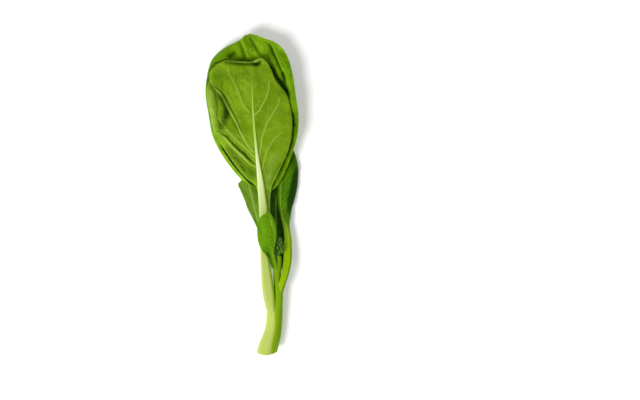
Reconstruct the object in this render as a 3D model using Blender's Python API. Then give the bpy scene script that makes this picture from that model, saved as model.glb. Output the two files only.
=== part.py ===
# A cut shoot of choy sum laid down as picked: a ribbed stem, six leaves and a head of closed buds.
# The origin is on the flat spot under the stem near its cut end. +Y runs to the leaf tips, +Z is up.
# Blender's unit is the metre. The tables below are in millimetres.

import math

import bmesh
import bpy
import numpy as np

MM = 0.001

CLEARANCE = 0.3
BLADE_THICKNESS = 0.7
RIB_COLUMNS = (0.0, 0.55, 1.0)
FLARE_WIDTH = 3.0
FINE_STEP = 0.4
BLADE_STEP = 5.0
STALK_STEP = 11.0
STALK_GROOVE = 0.9
GROOVE_DEPTH = 4.0
LEAST_RIB = 0.3

# Stem stations: centre x, y, z, half width, half height.
STEM = [
    (-2.8, -16.0, 8.4, 9.7, 8.9),
    (-1.4, -8.8, 7.9, 9.0, 8.3),
    (1.4, 0.0, 7.3, 8.3, 7.8),
    (3.2, 6.2, 7.0, 7.8, 7.2),
    (4.4, 13.5, 7.1, 7.3, 6.6),
    (5.1, 24.0, 7.9, 7.1, 6.1),
    (6.2, 31.0, 8.8, 6.2, 5.3),
    (7.9, 38.0, 9.6, 4.6, 4.4),
    (8.1, 45.0, 10.2, 4.1, 3.9),
    (7.1, 55.0, 10.6, 3.2, 3.2),
    (7.1, 66.0, 11.0, 2.8, 2.8),
    (8.0, 73.0, 11.3, 2.3, 2.2),
]
STEM_SIDES = 24
STEM_STEP = 3.4
STEM_RIDGES = 6
RIDGE_HEIGHT = 0.035
RIDGE_ANGLE = math.radians(81)
SHARP_ANGLE = math.radians(40)
CUT_POINT = (-0.9, -12.6, 15.6)
CUT_NORMAL = (0.0, -0.90, -0.43)

# Leaf stations, from the foot of the stalk to the tip of the blade. Each is the midrib's centre,
# the rib's half width and depth, then for the left and the right half of the blade its width and
# how far it rises above the midrib half way out and at its edge.
# A fold is a line in plan along which the blade sinks: on both sides of the line, or only on its
# left (1) or right (-1) when it is walked from its first point.
LEAF_FRONT = {
    "underside_up": True,
    "columns": 7,
    "stations": [
        ((1.5, 25.4, 11.6), (4.2, 3.6), (4.2, 0, 0), (4.2, 0, 0)),
        ((0.9, 31.0, 12.0), (4.5, 4.0), (4.5, 0, 0), (4.5, 0, 0)),
        ((-0.6, 43.0, 12.3), (5.2, 4.4), (5.2, 0, 0), (5.2, 0, 0)),
        ((-2.6, 61.6, 12.3), (4.4, 4.3), (4.4, 0, 0), (4.4, 0, 0)),
        ((-4.2, 78.0, 12.5), (3.5, 3.9), (3.5, 0, 0), (3.5, 0, 0)),
        ((-5.3, 111.8, 13.6), (3.3, 3.4), (3.3, 0, 0), (3.3, 0, 0)),
        ((-6.2, 126.0, 14.9), (3.2, 3.1), (3.2, 0, 0), (3.3, 0, 0)),
        ((-6.8, 134.4, 15.8), (2.9, 2.8), (6.2, 0, -0.6), (8.8, -0.2, -1.0)),
        ((-7.6, 142.0, 16.6), (2.6, 2.5), (13.7, -0.6, -2.2), (13.6, -0.6, -2.0)),
        ((-9.5, 157.0, 17.9), (1.7, 1.9), (23.2, -1.3, -3.8), (22.4, -0.9, -3.6)),
        ((-10.9, 169.0, 18.7), (1.2, 1.5), (29.3, -1.6, -4.6), (28.4, -1.0, -4.4)),
        ((-12.5, 185.0, 19.4), (1.0, 1.1), (35.6, -1.9, -5.4), (33.0, -1.0, -4.6)),
        ((-13.7, 201.0, 19.6), (0.8, 0.8), (37.7, -1.9, -5.2), (33.2, -1.0, -4.2)),
        ((-14.3, 216.0, 19.4), (0.7, 0.7), (40.5, -1.7, -4.8), (29.7, -0.8, -3.4)),
        ((-14.4, 228.0, 19.0), (0.6, 0.5), (38.3, -1.4, -4.2), (20.6, -0.5, -2.0)),
        ((-14.4, 238.0, 18.8), (0.5, 0.4), (36.5, -1.0, -3.0), (15.4, -0.3, -1.0)),
        ((-14.3, 243.6, 19.8), (0.5, 0.3), (30.5, -0.6, -2.0), (11.0, -0.1, -0.2)),
        ((-14.2, 245.6, 22.0), (0.5, 0.3), (25.0, -0.4, -1.4), (9.0, 0.1, 0.6)),
        ((-14.2, 244.0, 23.8), (0.5, 0.3), (19.0, -0.3, -1.0), (7.0, 0.1, 0.4)),
    ],
    "veins": [
        [(-13.1, 197.1), (-7.8, 202.4), (-2.6, 212.2), (-0.1, 220.3), (0.3, 228.4)],
        [(-7.9, 161.0), (-5.5, 179.6), (-2.2, 189.4), (3.5, 199.1), (8.4, 207.2)],
        [(-4.6, 155.2), (-1.3, 167.4), (4.3, 176.4), (12.0, 184.0)],
        [(-16.8, 199.9), (-22.5, 206.4), (-26.6, 217.0), (-29.8, 225.2), (-34.7, 234.1)],
        [(-10.6, 167.2), (-27.4, 187.1), (-31.8, 197.1), (-37.1, 206.3), (-49.3, 223.1)],
        [(-15.0, 161.9), (-28.2, 174.7), (-38.7, 188.6), (-46.9, 199.5)],
        [(-9.0, 150.0), (-15.0, 156.6), (-34.3, 169.0), (-42.2, 179.5)],
    ],
    "quilting": 1.0,
    "folds": [
        ([(-24.0, 183.0), (-31.8, 197.1), (-37.1, 206.3), (-49.3, 223.1)], 2.6, 11.0, 1),
        ([(-10.5, 155.0), (-19.4, 162.4), (-34.3, 172.5), (-42.2, 181.3)], 1.8, 6.0, -1),
        ([(8.0, 146.0), (13.0, 156.0), (17.0, 164.0)], 1.2, 4.0, 0),
    ],
    "waves": (0.6, 21.0),
    "colors": ((0.21, 0.36, 0.03), (0.62, 0.72, 0.25)),
}
LEAF_BACK = {
    "underside_up": False,
    "columns": 7,
    "stations": [
        ((3.2, 27.0, 5.2), (3.2, 3.0), (3.2, 0, 0), (3.2, 0, 0)),
        ((1.4, 34.0, 4.9), (3.4, 3.4), (3.4, 0, 0), (3.4, 0, 0)),
        ((-1.0, 45.0, 4.9), (3.6, 3.6), (3.6, 0, 0), (3.6, 0, 0)),
        ((-3.0, 62.0, 4.9), (3.4, 3.5), (3.4, 0, 0), (3.4, 0, 0)),
        ((-4.6, 85.0, 4.7), (3.0, 3.3), (3.0, 0, 0), (3.0, 0, 0)),
        ((-5.2, 112.0, 4.8), (2.7, 3.0), (2.7, 0, 0), (2.7, 0, 0)),
        ((-5.1, 128.0, 5.0), (2.5, 2.8), (2.8, 0.1, 0.3), (3.4, 0.2, 0.4)),
        ((-4.9, 133.0, 4.8), (2.4, 2.6), (7.0, 0.8, 2.6), (9.4, 0.9, 2.8)),
        ((-4.4, 141.0, 4.2), (2.2, 2.4), (22.0, 2.6, 6.0), (14.8, 0.9, 5.2)),
        ((-3.5, 153.0, 3.0), (1.9, 2.0), (33.8, 1.4, 8.0), (19.6, -0.3, 8.6)),
        ((-2.6, 166.0, 2.2), (1.7, 1.6), (42.6, 0.8, 8.6), (23.6, -0.4, 11.4)),
        ((-1.9, 180.0, 1.7), (1.4, 1.3), (48.0, 0.8, 9.0), (27.0, -0.3, 13.8)),
        ((-1.5, 197.0, 1.6), (1.2, 1.1), (51.6, 1.2, 9.4), (27.4, 0.2, 15.0)),
        ((-2.3, 217.0, 3.8), (1.0, 0.9), (53.6, 1.4, 8.0), (25.6, 1.4, 13.8)),
        ((-4.2, 234.0, 8.0), (0.8, 0.7), (50.2, 1.4, 5.6), (25.0, 1.4, 9.0)),
        ((-7.0, 247.0, 11.6), (0.7, 0.6), (43.0, 0.8, 2.8), (24.2, 0.8, 4.6)),
        ((-10.8, 257.0, 13.8), (0.6, 0.5), (28.6, 0.4, 1.4), (22.2, 0.2, 2.0)),
        ((-13.6, 262.6, 14.6), (0.5, 0.4), (14.8, 0.1, 0.8), (17.2, 0, 0.8)),
        ((-15.6, 267.0, 15.0), (0.5, 0.3), (6.2, 0, 0.2), (7.4, 0, 0.1)),
        ((-16.3, 269.2, 15.2), (0.4, 0.2), (2.6, 0, 0), (3.0, 0, 0)),
    ],
    "vein_starts": (0.52, 0.60, 0.68, 0.76, 0.84, 0.91),
    "quilting": 0.9,
    "folds": [
        ([(1.8, 260.0), (8.0, 247.0), (13.2, 233.2), (15.6, 218.0)], 1.6, 4.0, 0),
        ([(-28.6, 256.0), (-24.6, 249.0), (-20.2, 240.0)], 1.3, 3.5, 0),
        ([(-47.0, 242.0), (-38.0, 249.0), (-31.0, 251.0)], 1.3, 4.5, 0),
        ([(-30.0, 160.0), (-24.0, 172.0), (-22.0, 184.0)], 1.86, 9.0, 0),
    ],
    "waves": (0.9, 26.0),
    "colors": ((0.17, 0.32, 0.01), (0.60, 0.70, 0.22)),
}
LEAF_LEFT = {
    "underside_up": False,
    "columns": 3,
    "stations": [
        ((5.6, 66.5, 9.6), (1.5, 1.4), (1.5, 0, 0), (1.5, 0, 0)),
        ((3.0, 71.0, 9.4), (1.6, 1.5), (1.6, 0, 0), (1.6, 0, 0)),
        ((-0.6, 77.5, 9.0), (1.6, 1.5), (1.6, 0, 0), (1.6, 0, 0)),
        ((-4.2, 86.0, 8.2), (1.5, 1.4), (1.6, 0, 0.2), (1.7, 0, 0)),
        ((-7.6, 97.0, 7.3), (1.3, 1.2), (2.4, 0.2, 0.6), (3.0, 0.1, 0.3)),
        ((-10.4, 105.6, 6.7), (1.1, 1.1), (3.5, 0.3, 1.0), (4.6, 0.1, 0.4)),
        ((-13.2, 115.7, 6.2), (1.0, 1.0), (5.9, 0.3, 1.2), (6.2, 0.1, 0.4)),
        ((-15.2, 123.5, 5.4), (0.9, 0.9), (6.6, 0.3, 1.2), (6.9, 0.1, 0.4)),
        ((-17.4, 132.0, 4.2), (0.7, 0.8), (8.1, 0.2, 1.0), (7.6, 0, 0)),
        ((-18.6, 137.2, 3.5), (0.6, 0.6), (8.9, 0.1, 0.7), (7.2, 0, 0)),
        ((-19.3, 140.6, 2.9), (0.5, 0.5), (5.4, 0, 0.3), (5.8, 0, 0)),
        ((-20.4, 145.0, 2.5), (0.4, 0.4), (2.8, 0, 0), (3.2, 0, 0)),
        ((-21.2, 148.0, 2.3), (0.4, 0.3), (0.9, 0, 0), (0.9, 0, 0)),
    ],
    "vein_starts": (0.42, 0.56, 0.70, 0.82),
    "quilting": 0.35,
    "folds": [],
    "waves": (0.3, 14.0),
    "colors": ((0.16, 0.31, 0.04), (0.45, 0.58, 0.16)),
}
LEAF_SMALL = {
    "underside_up": False,
    "columns": 3,
    "stations": [
        ((6.4, 63.0, 14.0), (1.2, 1.0), (1.2, 0, 0), (1.2, 0, 0)),
        ((5.4, 68.0, 15.2), (1.3, 1.1), (1.3, 0, 0), (1.3, 0, 0)),
        ((3.6, 73.5, 16.8), (1.2, 1.0), (2.6, 0.1, 0.4), (1.3, 0, 0)),
        ((2.7, 78.0, 17.8), (1.0, 0.8), (8.0, 0.4, 0.9), (1.9, 0.1, -0.3)),
        ((2.8, 85.4, 18.7), (0.8, 0.6), (11.8, 0.6, 0.1), (3.0, 0, -0.6)),
        ((3.2, 95.0, 19.3), (0.7, 0.5), (13.4, 0.5, -0.9), (3.5, 0, -0.8)),
        ((2.2, 104.0, 19.4), (0.6, 0.4), (11.6, 0.4, -1.0), (3.0, 0, -0.6)),
        ((0.4, 109.4, 19.3), (0.5, 0.3), (5.8, 0.2, -0.4), (2.0, 0, -0.3)),
        ((-1.0, 112.4, 19.2), (0.4, 0.2), (0.9, 0, 0), (0.9, 0, 0)),
    ],
    "vein_starts": (0.34, 0.46, 0.58, 0.70, 0.82),
    "quilting": 0.4,
    "folds": [],
    "waves": (0.3, 12.0),
    "colors": ((0.13, 0.29, 0.01), (0.40, 0.55, 0.10)),
}
LEAF_RIGHT = {
    "underside_up": False,
    "columns": 4,
    "stations": [
        ((8.0, 41.5, 13.4), (1.8, 1.7), (1.8, 0, 0), (1.8, 0, 0)),
        ((9.0, 47.0, 14.8), (2.5, 2.4), (2.5, 0, 0), (2.5, 0, 0)),
        ((11.8, 55.0, 14.3), (2.8, 2.7), (2.8, 0, 0), (2.8, 0, 0)),
        ((15.4, 66.0, 11.8), (2.9, 2.8), (2.9, 0, 0), (2.9, 0, 0)),
        ((17.6, 83.0, 9.0), (2.7, 2.6), (2.7, 0, 0), (2.7, 0, 0)),
        ((16.4, 99.0, 6.8), (2.3, 2.2), (2.3, 0, 0), (2.3, 0, 0)),
        ((15.4, 109.0, 5.7), (1.9, 1.9), (2.9, 0.1, 0.4), (3.0, 0.1, 0.4)),
        ((14.7, 120.0, 4.8), (1.5, 1.5), (6.0, 0.3, 1.2), (6.8, 0.3, 1.4)),
        ((15.0, 133.0, 4.0), (1.1, 1.2), (7.2, 0.3, 1.3), (10.0, 0.6, 2.4)),
        ((16.2, 146.0, 3.5), (0.8, 0.9), (7.0, 0.1, 0.8), (9.8, 0.5, 2.2)),
        ((17.8, 157.0, 3.4), (0.6, 0.6), (5.0, 0, 0.3), (7.0, 0.2, 1.2)),
        ((19.2, 164.0, 3.5), (0.5, 0.4), (2.6, 0, 0), (3.6, 0, 0.3)),
        ((20.0, 168.0, 3.6), (0.4, 0.3), (0.9, 0, 0), (0.9, 0, 0)),
    ],
    "vein_starts": (0.50, 0.59, 0.68, 0.77, 0.86),
    "quilting": 0.6,
    "folds": [],
    "waves": (0.5, 15.0),
    "colors": ((0.045, 0.14, 0.01), (0.33, 0.45, 0.02)),
}
LEAF_INNER = {
    "underside_up": False,
    "columns": 3,
    "stations": [
        ((6.8, 57.0, 8.2), (1.1, 1.3), (1.1, 0, 0), (1.1, 0, 0)),
        ((6.6, 64.0, 7.1), (1.2, 1.4), (1.2, 0, 0), (1.2, 0, 0)),
        ((6.3, 74.0, 6.2), (1.2, 1.3), (1.3, 0, 0.1), (1.3, 0, 0.1)),
        ((5.9, 86.0, 5.8), (1.1, 1.2), (2.0, 0.3, 0.7), (2.0, 0.3, 0.7)),
        ((5.6, 98.0, 5.8), (0.9, 1.0), (3.0, 0.6, 1.6), (3.0, 0.6, 1.6)),
        ((5.6, 109.0, 6.0), (0.7, 0.8), (3.4, 0.7, 1.8), (3.3, 0.7, 1.8)),
        ((5.8, 119.0, 5.9), (0.6, 0.6), (2.8, 0.4, 1.2), (2.6, 0.4, 1.2)),
        ((5.9, 126.0, 5.8), (0.5, 0.4), (1.5, 0.1, 0.4), (1.4, 0.1, 0.4)),
        ((6.0, 129.0, 5.8), (0.4, 0.2), (0.8, 0, 0), (0.8, 0, 0)),
    ],
    "vein_starts": (0.40, 0.54, 0.68, 0.82),
    "quilting": 0.2,
    "folds": [],
    "waves": (0.2, 9.0),
    "colors": ((0.06, 0.18, 0.01), (0.42, 0.55, 0.12)),
}
LEAVES = {
    "leaf_front": LEAF_FRONT,
    "leaf_back": LEAF_BACK,
    "leaf_left": LEAF_LEFT,
    "leaf_small": LEAF_SMALL,
    "leaf_right": LEAF_RIGHT,
    "leaf_inner": LEAF_INNER,
}
VEIN_LEAN = 0.16
VEIN_CURVE = 1.3
VEIN_REACH = 0.85

# The swelling between the veins grows away from them within the quilt width. It starts at the rib,
# over so many times the rib's half width, and fades in the margin's share of the blade's width and
# where the blade is narrower than the full width.
QUILT_WIDTH = 5.0
QUILT_FROM_RIB = 3.0
QUILT_MARGIN = 0.25
QUILT_FULL_WIDTH = 8.0
FOLD_STEEPNESS = 0.35
FOLD_END = 0.25
FOLD_START = 0.15

# The bud head: a tapering core that carries the bud stalks, which spread by the golden angle. The
# pairs give a value at the foot and at the top of the core, and a bud's half width and half length.
HEAD_FOOT = (7.8, 70.0, 11.3)
HEAD_TOP = (8.9, 86.0, 11.9)
HEAD_CORE = (2.0, 0.9)
BUD_COUNT = 24
BUD_ROOTS = (0.25, 0.97)
BUD_SPREAD = (4.0, 1.0)
BUD_SPREAD_CURVE = 1.5
BUD_LIFT = 4.0
BUD_SCALE = (1.0, 0.7)
BUD_SIZE = (1.35, 2.1)
BUD_BLUNTNESS = 0.8
BUD_STALK = (0.54, 0.45)
GOLDEN_ANGLE = math.pi * (3 - math.sqrt(5))

STEM_COLOR = (0.50, 0.62, 0.14)
BUD_COLOR = (0.16, 0.30, 0.03)
BLADE_ROUGHNESS = 0.45
STALK_ROUGHNESS = 0.5


def clear_scene():
    for old in list(bpy.data.objects):
        bpy.data.objects.remove(old, do_unlink=True)


def plant_material(name, color, roughness):
    material = bpy.data.materials.new(name)
    material.use_nodes = True
    shader = material.node_tree.nodes["Principled BSDF"]
    shader.inputs["Base Color"].default_value = (*color, 1.0)
    shader.inputs["Roughness"].default_value = roughness
    shader.inputs["Metallic"].default_value = 0.0
    material.diffuse_color = (*color, 1.0)
    return material


def mesh_object(name, points, faces, materials, face_materials=None):
    """An object from points in millimetres."""
    mesh = bpy.data.meshes.new(name)
    mesh.from_pydata((np.asarray(points) * MM).tolist(), [], faces)
    for material in materials:
        mesh.materials.append(material)
    if face_materials is not None:
        mesh.polygons.foreach_set("material_index", face_materials)
    mesh.shade_smooth()
    made = bpy.data.objects.new(name, mesh)
    bpy.context.scene.collection.objects.link(made)
    return made


def smoothstep(value):
    value = np.clip(value, 0.0, 1.0)
    return value * value * (3 - 2 * value)


def between(ends, share):
    return ends[0] + (ends[1] - ends[0]) * share


def unit(vectors):
    return vectors / np.linalg.norm(vectors, axis=-1, keepdims=True)


def smooth_curve(knots, places, at):
    """Cubic interpolation of the knots, whose slopes are the weighted mean of their two spans'."""
    spans = np.diff(places)[:, None]
    rates = np.diff(knots, axis=0) / spans
    slopes = np.empty_like(knots)
    slopes[0] = rates[0]
    slopes[-1] = rates[-1]
    slopes[1:-1] = (rates[:-1] * spans[1:] + rates[1:] * spans[:-1]) / (spans[1:] + spans[:-1])
    span = np.clip(np.searchsorted(places, at, side="right") - 1, 0, len(spans) - 1)
    width = spans[span]
    share = ((at - places[span]) / width[:, 0])[:, None]
    start, end = knots[span], knots[span + 1]
    return (
        start * (2 * share**3 - 3 * share**2 + 1)
        + end * (3 * share**2 - 2 * share**3)
        + slopes[span] * width * (share**3 - 2 * share**2 + share)
        + slopes[span + 1] * width * (share**3 - share**2)
    )


def leaf_rows(stations, blade_step, stalk_step):
    """Rows along the leaf, further apart on the stalk, and each row's share of the way to the tip.

    A row holds x, y, z, the rib's half width and depth, then 3 values for the left and the right.
    """
    knots = np.array([np.hstack(station) for station in stations], float)
    moves = np.diff(knots[:, [0, 1, 2, 5, 8]], axis=0)
    places = np.concatenate([[0], np.cumsum(np.linalg.norm(moves, axis=1))])
    fine = np.linspace(0, places[-1], math.ceil(places[-1] / FINE_STEP))
    values = smooth_curve(knots, places, fine)
    wing = np.maximum(values[:, 5], values[:, 8]) - values[:, 3]
    step = stalk_step + (blade_step - stalk_step) * smoothstep(wing / FLARE_WIDTH + 0.5)
    count = np.concatenate([[0], np.cumsum(np.diff(fine) / step[1:])])
    at = np.interp(np.linspace(0, count[-1], math.ceil(count[-1]) + 1), count, fine)
    rows = smooth_curve(knots, places, at)
    rows[:, 3] = np.maximum(rows[:, 3], LEAST_RIB)
    rows[:, 5] = np.maximum(rows[:, 5], rows[:, 3])
    rows[:, 8] = np.maximum(rows[:, 8], rows[:, 3])
    return rows, at / places[-1]


def line_offset(points, line):
    """In plan, each point's distance from a line, more than 0 on its left, and its share along."""
    nearest = np.full(points.shape[:-1], np.inf)
    signed, share = np.zeros_like(nearest), np.zeros_like(nearest)
    line = np.array(line)
    for k, (start, end) in enumerate(zip(line[:-1], line[1:])):
        along, away = end - start, points - start
        part = np.clip(away @ along / (along @ along), 0, 1)
        distance = np.linalg.norm(away - part[..., None] * along, axis=-1)
        left = np.sign(along[0] * away[..., 1] - along[1] * away[..., 0])
        closer = distance < nearest
        nearest = np.where(closer, distance, nearest)
        signed = np.where(closer, left * distance, signed)
        share = np.where(closer, (k + part) / (len(line) - 1), share)
    return signed, share


def fold_depth(points, line, depth, width, side):
    """How far a fold sinks the blade at each point. A one-sided fold is steep at its line."""
    signed, share = line_offset(points, line)
    if side:
        away = np.clip(signed * side, 0, None) / (FOLD_STEEPNESS * width)
        sunk = away * np.exp(1 - away)
    else:
        sunk = np.exp(-((signed / width) ** 2))
    return depth * sunk * smoothstep(np.minimum(share, 1 - share) / FOLD_END + FOLD_START)


def side_veins(rows, shares, starts):
    """A pair of side veins from each start, leaning towards the tip, as points in plan."""
    lines = []
    for start in starts:
        for side, width in ((-1, 5), (1, 8)):
            line = []
            for out in np.linspace(0, VEIN_REACH, 5):
                at = min(start + VEIN_LEAN * out**VEIN_CURVE, 1.0)
                x, y, reach = (np.interp(at, shares, rows[:, k]) for k in (0, 1, width))
                line.append((x + side * out * reach, y))
            lines.append(line)
    return lines


def row_columns(rib, width, count):
    """Distances of a row's columns from the midrib, the same number on the stalk and the blade."""
    last = len(RIB_COLUMNS) - 1 + count
    wing = np.arange(1, count + 1) / count
    blade = np.concatenate([rib * np.array(RIB_COLUMNS), rib + (width - rib) * wing])
    stalk = width * np.sin(np.pi / 2 * np.arange(last + 1) / last)
    return stalk + (blade - stalk) * smoothstep((width - rib) / FLARE_WIDTH)


def leaf_sheet(leaf, rows, shares):
    """The leaf's middle surface, and each point's distance from the midrib in rib half widths."""
    lines = leaf.get("veins") or side_veins(rows, shares, leaf["vein_starts"])
    height, length = leaf["waves"]
    points, outs, ribs = [], [], []
    for row in rows:
        halves = []
        for side, first in ((-1, 5), (1, 8)):
            width, half, edge = row[first : first + 3]
            across = row_columns(row[3], width, leaf["columns"])
            out = across / width
            rise = (8 * half - edge) * out**2 + (2 * edge - 8 * half) * out**3
            waving = smoothstep((width - row[3]) / FLARE_WIDTH) * height * out**3
            rise += waving * math.sin(2 * math.pi * row[1] / length + side)
            point = np.stack([row[0] + side * across, row[1] + 0 * across, row[2] + rise], axis=-1)
            halves.append((point, out, across / row[3]))
        (left, left_out, left_rib), (right, right_out, right_rib) = halves
        points.append(np.concatenate([left[:0:-1], right]))
        outs.append(np.concatenate([left_out[:0:-1], right_out]))
        ribs.append(np.concatenate([left_rib[:0:-1], right_rib]))
    points, outs, ribs = np.array(points), np.array(outs), np.array(ribs)
    facing = -1 if leaf["underside_up"] else 1
    apart = np.min([abs(line_offset(points[..., :2], line)[0]) for line in lines], axis=0)
    wing = (np.maximum(rows[:, 5], rows[:, 8]) - rows[:, 3])[:, None]
    swell = leaf["quilting"] * (1 - np.exp(-((apart / QUILT_WIDTH) ** 2)))
    swell *= smoothstep((ribs - 1) / QUILT_FROM_RIB) * smoothstep((1 - outs) / QUILT_MARGIN)
    swell *= smoothstep(wing / QUILT_FULL_WIDTH)
    rise = facing * swell - sum(fold_depth(points[..., :2], *fold) for fold in leaf["folds"])
    points += sheet_normals(points) * rise[..., None]
    return points, ribs


def sheet_normals(points):
    along = np.gradient(points, axis=0)
    across = np.gradient(points, axis=1)
    return unit(np.cross(across, along))


def sheet_faces(row_count, column_count):
    """Triangles of the two faces of a sheet, split alike, and the quads that close its rim."""
    low = row_count * column_count
    faces = []
    for i in range(row_count - 1):
        for j in range(column_count - 1):
            a = i * column_count + j
            b, c, d = a + 1, a + column_count + 1, a + column_count
            faces += [(a, b, c), (a, c, d)]
            faces += [(low + a, low + c, low + b), (low + a, low + d, low + c)]
        a, b = i * column_count, (i + 1) * column_count - 1
        d, c = a + column_count, b + column_count
        faces += [(a, d, low + d, low + a), (b, low + b, low + c, c)]
    for j in range(column_count - 1):
        a, d = j, (row_count - 1) * column_count + j
        faces += [(a, low + a, low + a + 1, a + 1), (d, d + 1, low + d + 1, low + d)]
    return faces


def build_leaf(name, leaf, cutter):
    rows, shares = leaf_rows(leaf["stations"], BLADE_STEP, STALK_STEP)
    middle, ribs = leaf_sheet(leaf, rows, shares)
    normals = sheet_normals(middle)
    round_share = np.sqrt(np.clip(1 - ribs**2, 0, 1))
    rib_side = BLADE_THICKNESS / 2 + rows[:, 4, None] * round_share
    groove = STALK_GROOVE * np.clip(rows[:, 4, None] / GROOVE_DEPTH, 0, 1) * round_share
    upper_side = BLADE_THICKNESS / 2 - groove
    high, low = (rib_side, upper_side) if leaf["underside_up"] else (upper_side, rib_side)
    points = np.concatenate([
        (middle + normals * high[..., None]).reshape(-1, 3),
        (middle - normals * low[..., None]).reshape(-1, 3),
    ])
    faces = sheet_faces(*ribs.shape)
    blade_color, stalk_color = leaf["colors"]
    materials = [
        plant_material(name + "_blade", blade_color, BLADE_ROUGHNESS),
        plant_material(name + "_stalk", stalk_color, STALK_ROUGHNESS),
    ]
    on_rib = np.concatenate([ribs.reshape(-1), ribs.reshape(-1)]) < 1.01
    face_materials = [int(on_rib[list(face)].all()) for face in faces]
    made = mesh_object(name, points, faces, materials, face_materials)
    trim(made, cutter)
    return made


def trim(made, cutter):
    """Cuts a foot back to the stem's clearance."""
    cut = made.modifiers.new("foot_on_stem", "BOOLEAN")
    cut.operation = "DIFFERENCE"
    cut.object = cutter


def stem_mesh(grow):
    """Points and faces of the stem with its soft ridges, larger all round and longer by grow."""
    knots = np.array(STEM)
    places = np.concatenate([[0], np.cumsum(np.linalg.norm(np.diff(knots[:, :3], axis=0), axis=1))])
    count = math.ceil(places[-1] / STEM_STEP) + 1
    rows = smooth_curve(knots, places, np.linspace(0, places[-1], count))
    rows[:, 3:] += grow
    along = unit(np.gradient(rows[:, :3], axis=0))
    rows[0, :3] -= grow * along[0]
    rows[-1, :3] += grow * along[-1]
    side = unit(np.array([1.0, 0, 0]) - along[:, :1] * along)
    up = np.cross(side, along)
    angle = np.arange(STEM_SIDES) * 2 * math.pi / STEM_SIDES
    ridge = 1 + RIDGE_HEIGHT * np.cos(STEM_RIDGES * (angle - RIDGE_ANGLE))
    points = (
        rows[:, None, :3]
        + side[:, None] * (rows[:, 3, None] * np.cos(angle) * ridge)[..., None]
        + up[:, None] * (rows[:, 4, None] * np.sin(angle) * ridge)[..., None]
    ).reshape(-1, 3)
    faces = []
    for i in range(count - 1):
        for j in range(STEM_SIDES):
            a, b = i * STEM_SIDES + j, i * STEM_SIDES + (j + 1) % STEM_SIDES
            faces.append((a, a + STEM_SIDES, b + STEM_SIDES, b))
    last = (count - 1) * STEM_SIDES
    faces.append(list(range(STEM_SIDES)))
    faces.append([last + j for j in reversed(range(STEM_SIDES))])
    return points, faces


def slice_off(made, point, normal):
    """Cuts away what lies past a plane and closes the cut with one flat face."""
    mesh = bmesh.new()
    mesh.from_mesh(made.data)
    cut = bmesh.ops.bisect_plane(
        mesh,
        geom=mesh.verts[:] + mesh.edges[:] + mesh.faces[:],
        plane_co=np.array(point) * MM,
        plane_no=normal,
        clear_outer=True,
    )
    rim = [item for item in cut["geom_cut"] if isinstance(item, bmesh.types.BMEdge)]
    bmesh.ops.contextual_create(mesh, geom=rim)
    bmesh.ops.recalc_face_normals(mesh, faces=mesh.faces[:])
    mesh.to_mesh(made.data)
    mesh.free()
    made.data.set_sharp_from_angle(angle=SHARP_ANGLE)


def build_stem():
    skin = plant_material("stem_skin", STEM_COLOR, STALK_ROUGHNESS)
    made = mesh_object("stem", *stem_mesh(0.0), [skin])
    slice_off(made, CUT_POINT, CUT_NORMAL)
    slice_off(made, (0, 0, 0), (0, 0, -1))
    return made


def build_cutter():
    """The stem with the clearance round it, which trims the feet of the leaves and the bud head."""
    made = mesh_object("stem_clearance", *stem_mesh(CLEARANCE), [])
    made.hide_render = True
    made.display_type = "WIRE"
    return made


def bud_mesh(center, axis, width, length, sides=6, rings=4):
    """A closed bud: a blunt egg shape along its axis."""
    across = unit(np.cross(axis, (0.3, 0.2, 1.0)))
    up = np.cross(axis, across)
    points = [center - axis * length]
    for ring in range(1, rings):
        angle = math.pi * ring / rings
        radius = width * math.sin(angle) ** BUD_BLUNTNESS
        for k in range(sides):
            turn = 2 * math.pi * k / sides
            spoke = across * math.cos(turn) + up * math.sin(turn)
            points.append(center - axis * length * math.cos(angle) + spoke * radius)
    points.append(center + axis * length)
    faces = []
    for ring in range(rings - 2):
        for k in range(sides):
            a, b = 1 + ring * sides + k, 1 + ring * sides + (k + 1) % sides
            faces.append((a, b, b + sides, a + sides))
    top, last = len(points) - 1, 1 + (rings - 2) * sides
    for k in range(sides):
        faces.append((0, 1 + (k + 1) % sides, 1 + k))
        faces.append((top, last + k, last + (k + 1) % sides))
    return points, faces


def tube_mesh(start, end, wide, narrow, sides=4):
    """A straight tapering stalk with flat ends."""
    axis = unit(end - start)
    across = unit(np.cross(axis, (0.3, 0.2, 1.0)))
    up = np.cross(axis, across)
    points = []
    for center, radius in ((start, wide), (end, narrow)):
        for k in range(sides):
            turn = 2 * math.pi * k / sides
            points.append(center + radius * (across * math.cos(turn) + up * math.sin(turn)))
    faces = [(k, (k + 1) % sides, sides + (k + 1) % sides, sides + k) for k in range(sides)]
    faces.append(list(reversed(range(sides))))
    faces.append([sides + k for k in range(sides)])
    return points, faces


def bud_pieces():
    """The core, then each bud with its stalk, longest at the foot of the head."""
    foot, top = np.array(HEAD_FOOT), np.array(HEAD_TOP)
    axis = unit(top - foot)
    across = unit(np.cross(axis, (0, 0, 1)))
    up = np.cross(across, axis)
    pieces = [tube_mesh(foot, top, *HEAD_CORE, sides=10)]
    for k in range(BUD_COUNT):
        share = (k + 0.5) / BUD_COUNT
        turn = k * GOLDEN_ANGLE
        spoke = across * math.cos(turn) + up * math.sin(turn)
        reach = between(BUD_SPREAD, share**BUD_SPREAD_CURVE)
        root = foot + (top - foot) * between(BUD_ROOTS, share)
        center = root + spoke * reach + axis * BUD_LIFT
        lean = unit(spoke * reach / 2 + axis * BUD_LIFT)
        width, length = np.array(BUD_SIZE) * between(BUD_SCALE, share)
        pieces.append(bud_mesh(center, lean, width, length))
        pieces.append(tube_mesh(root, center, *BUD_STALK))
    return pieces


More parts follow.
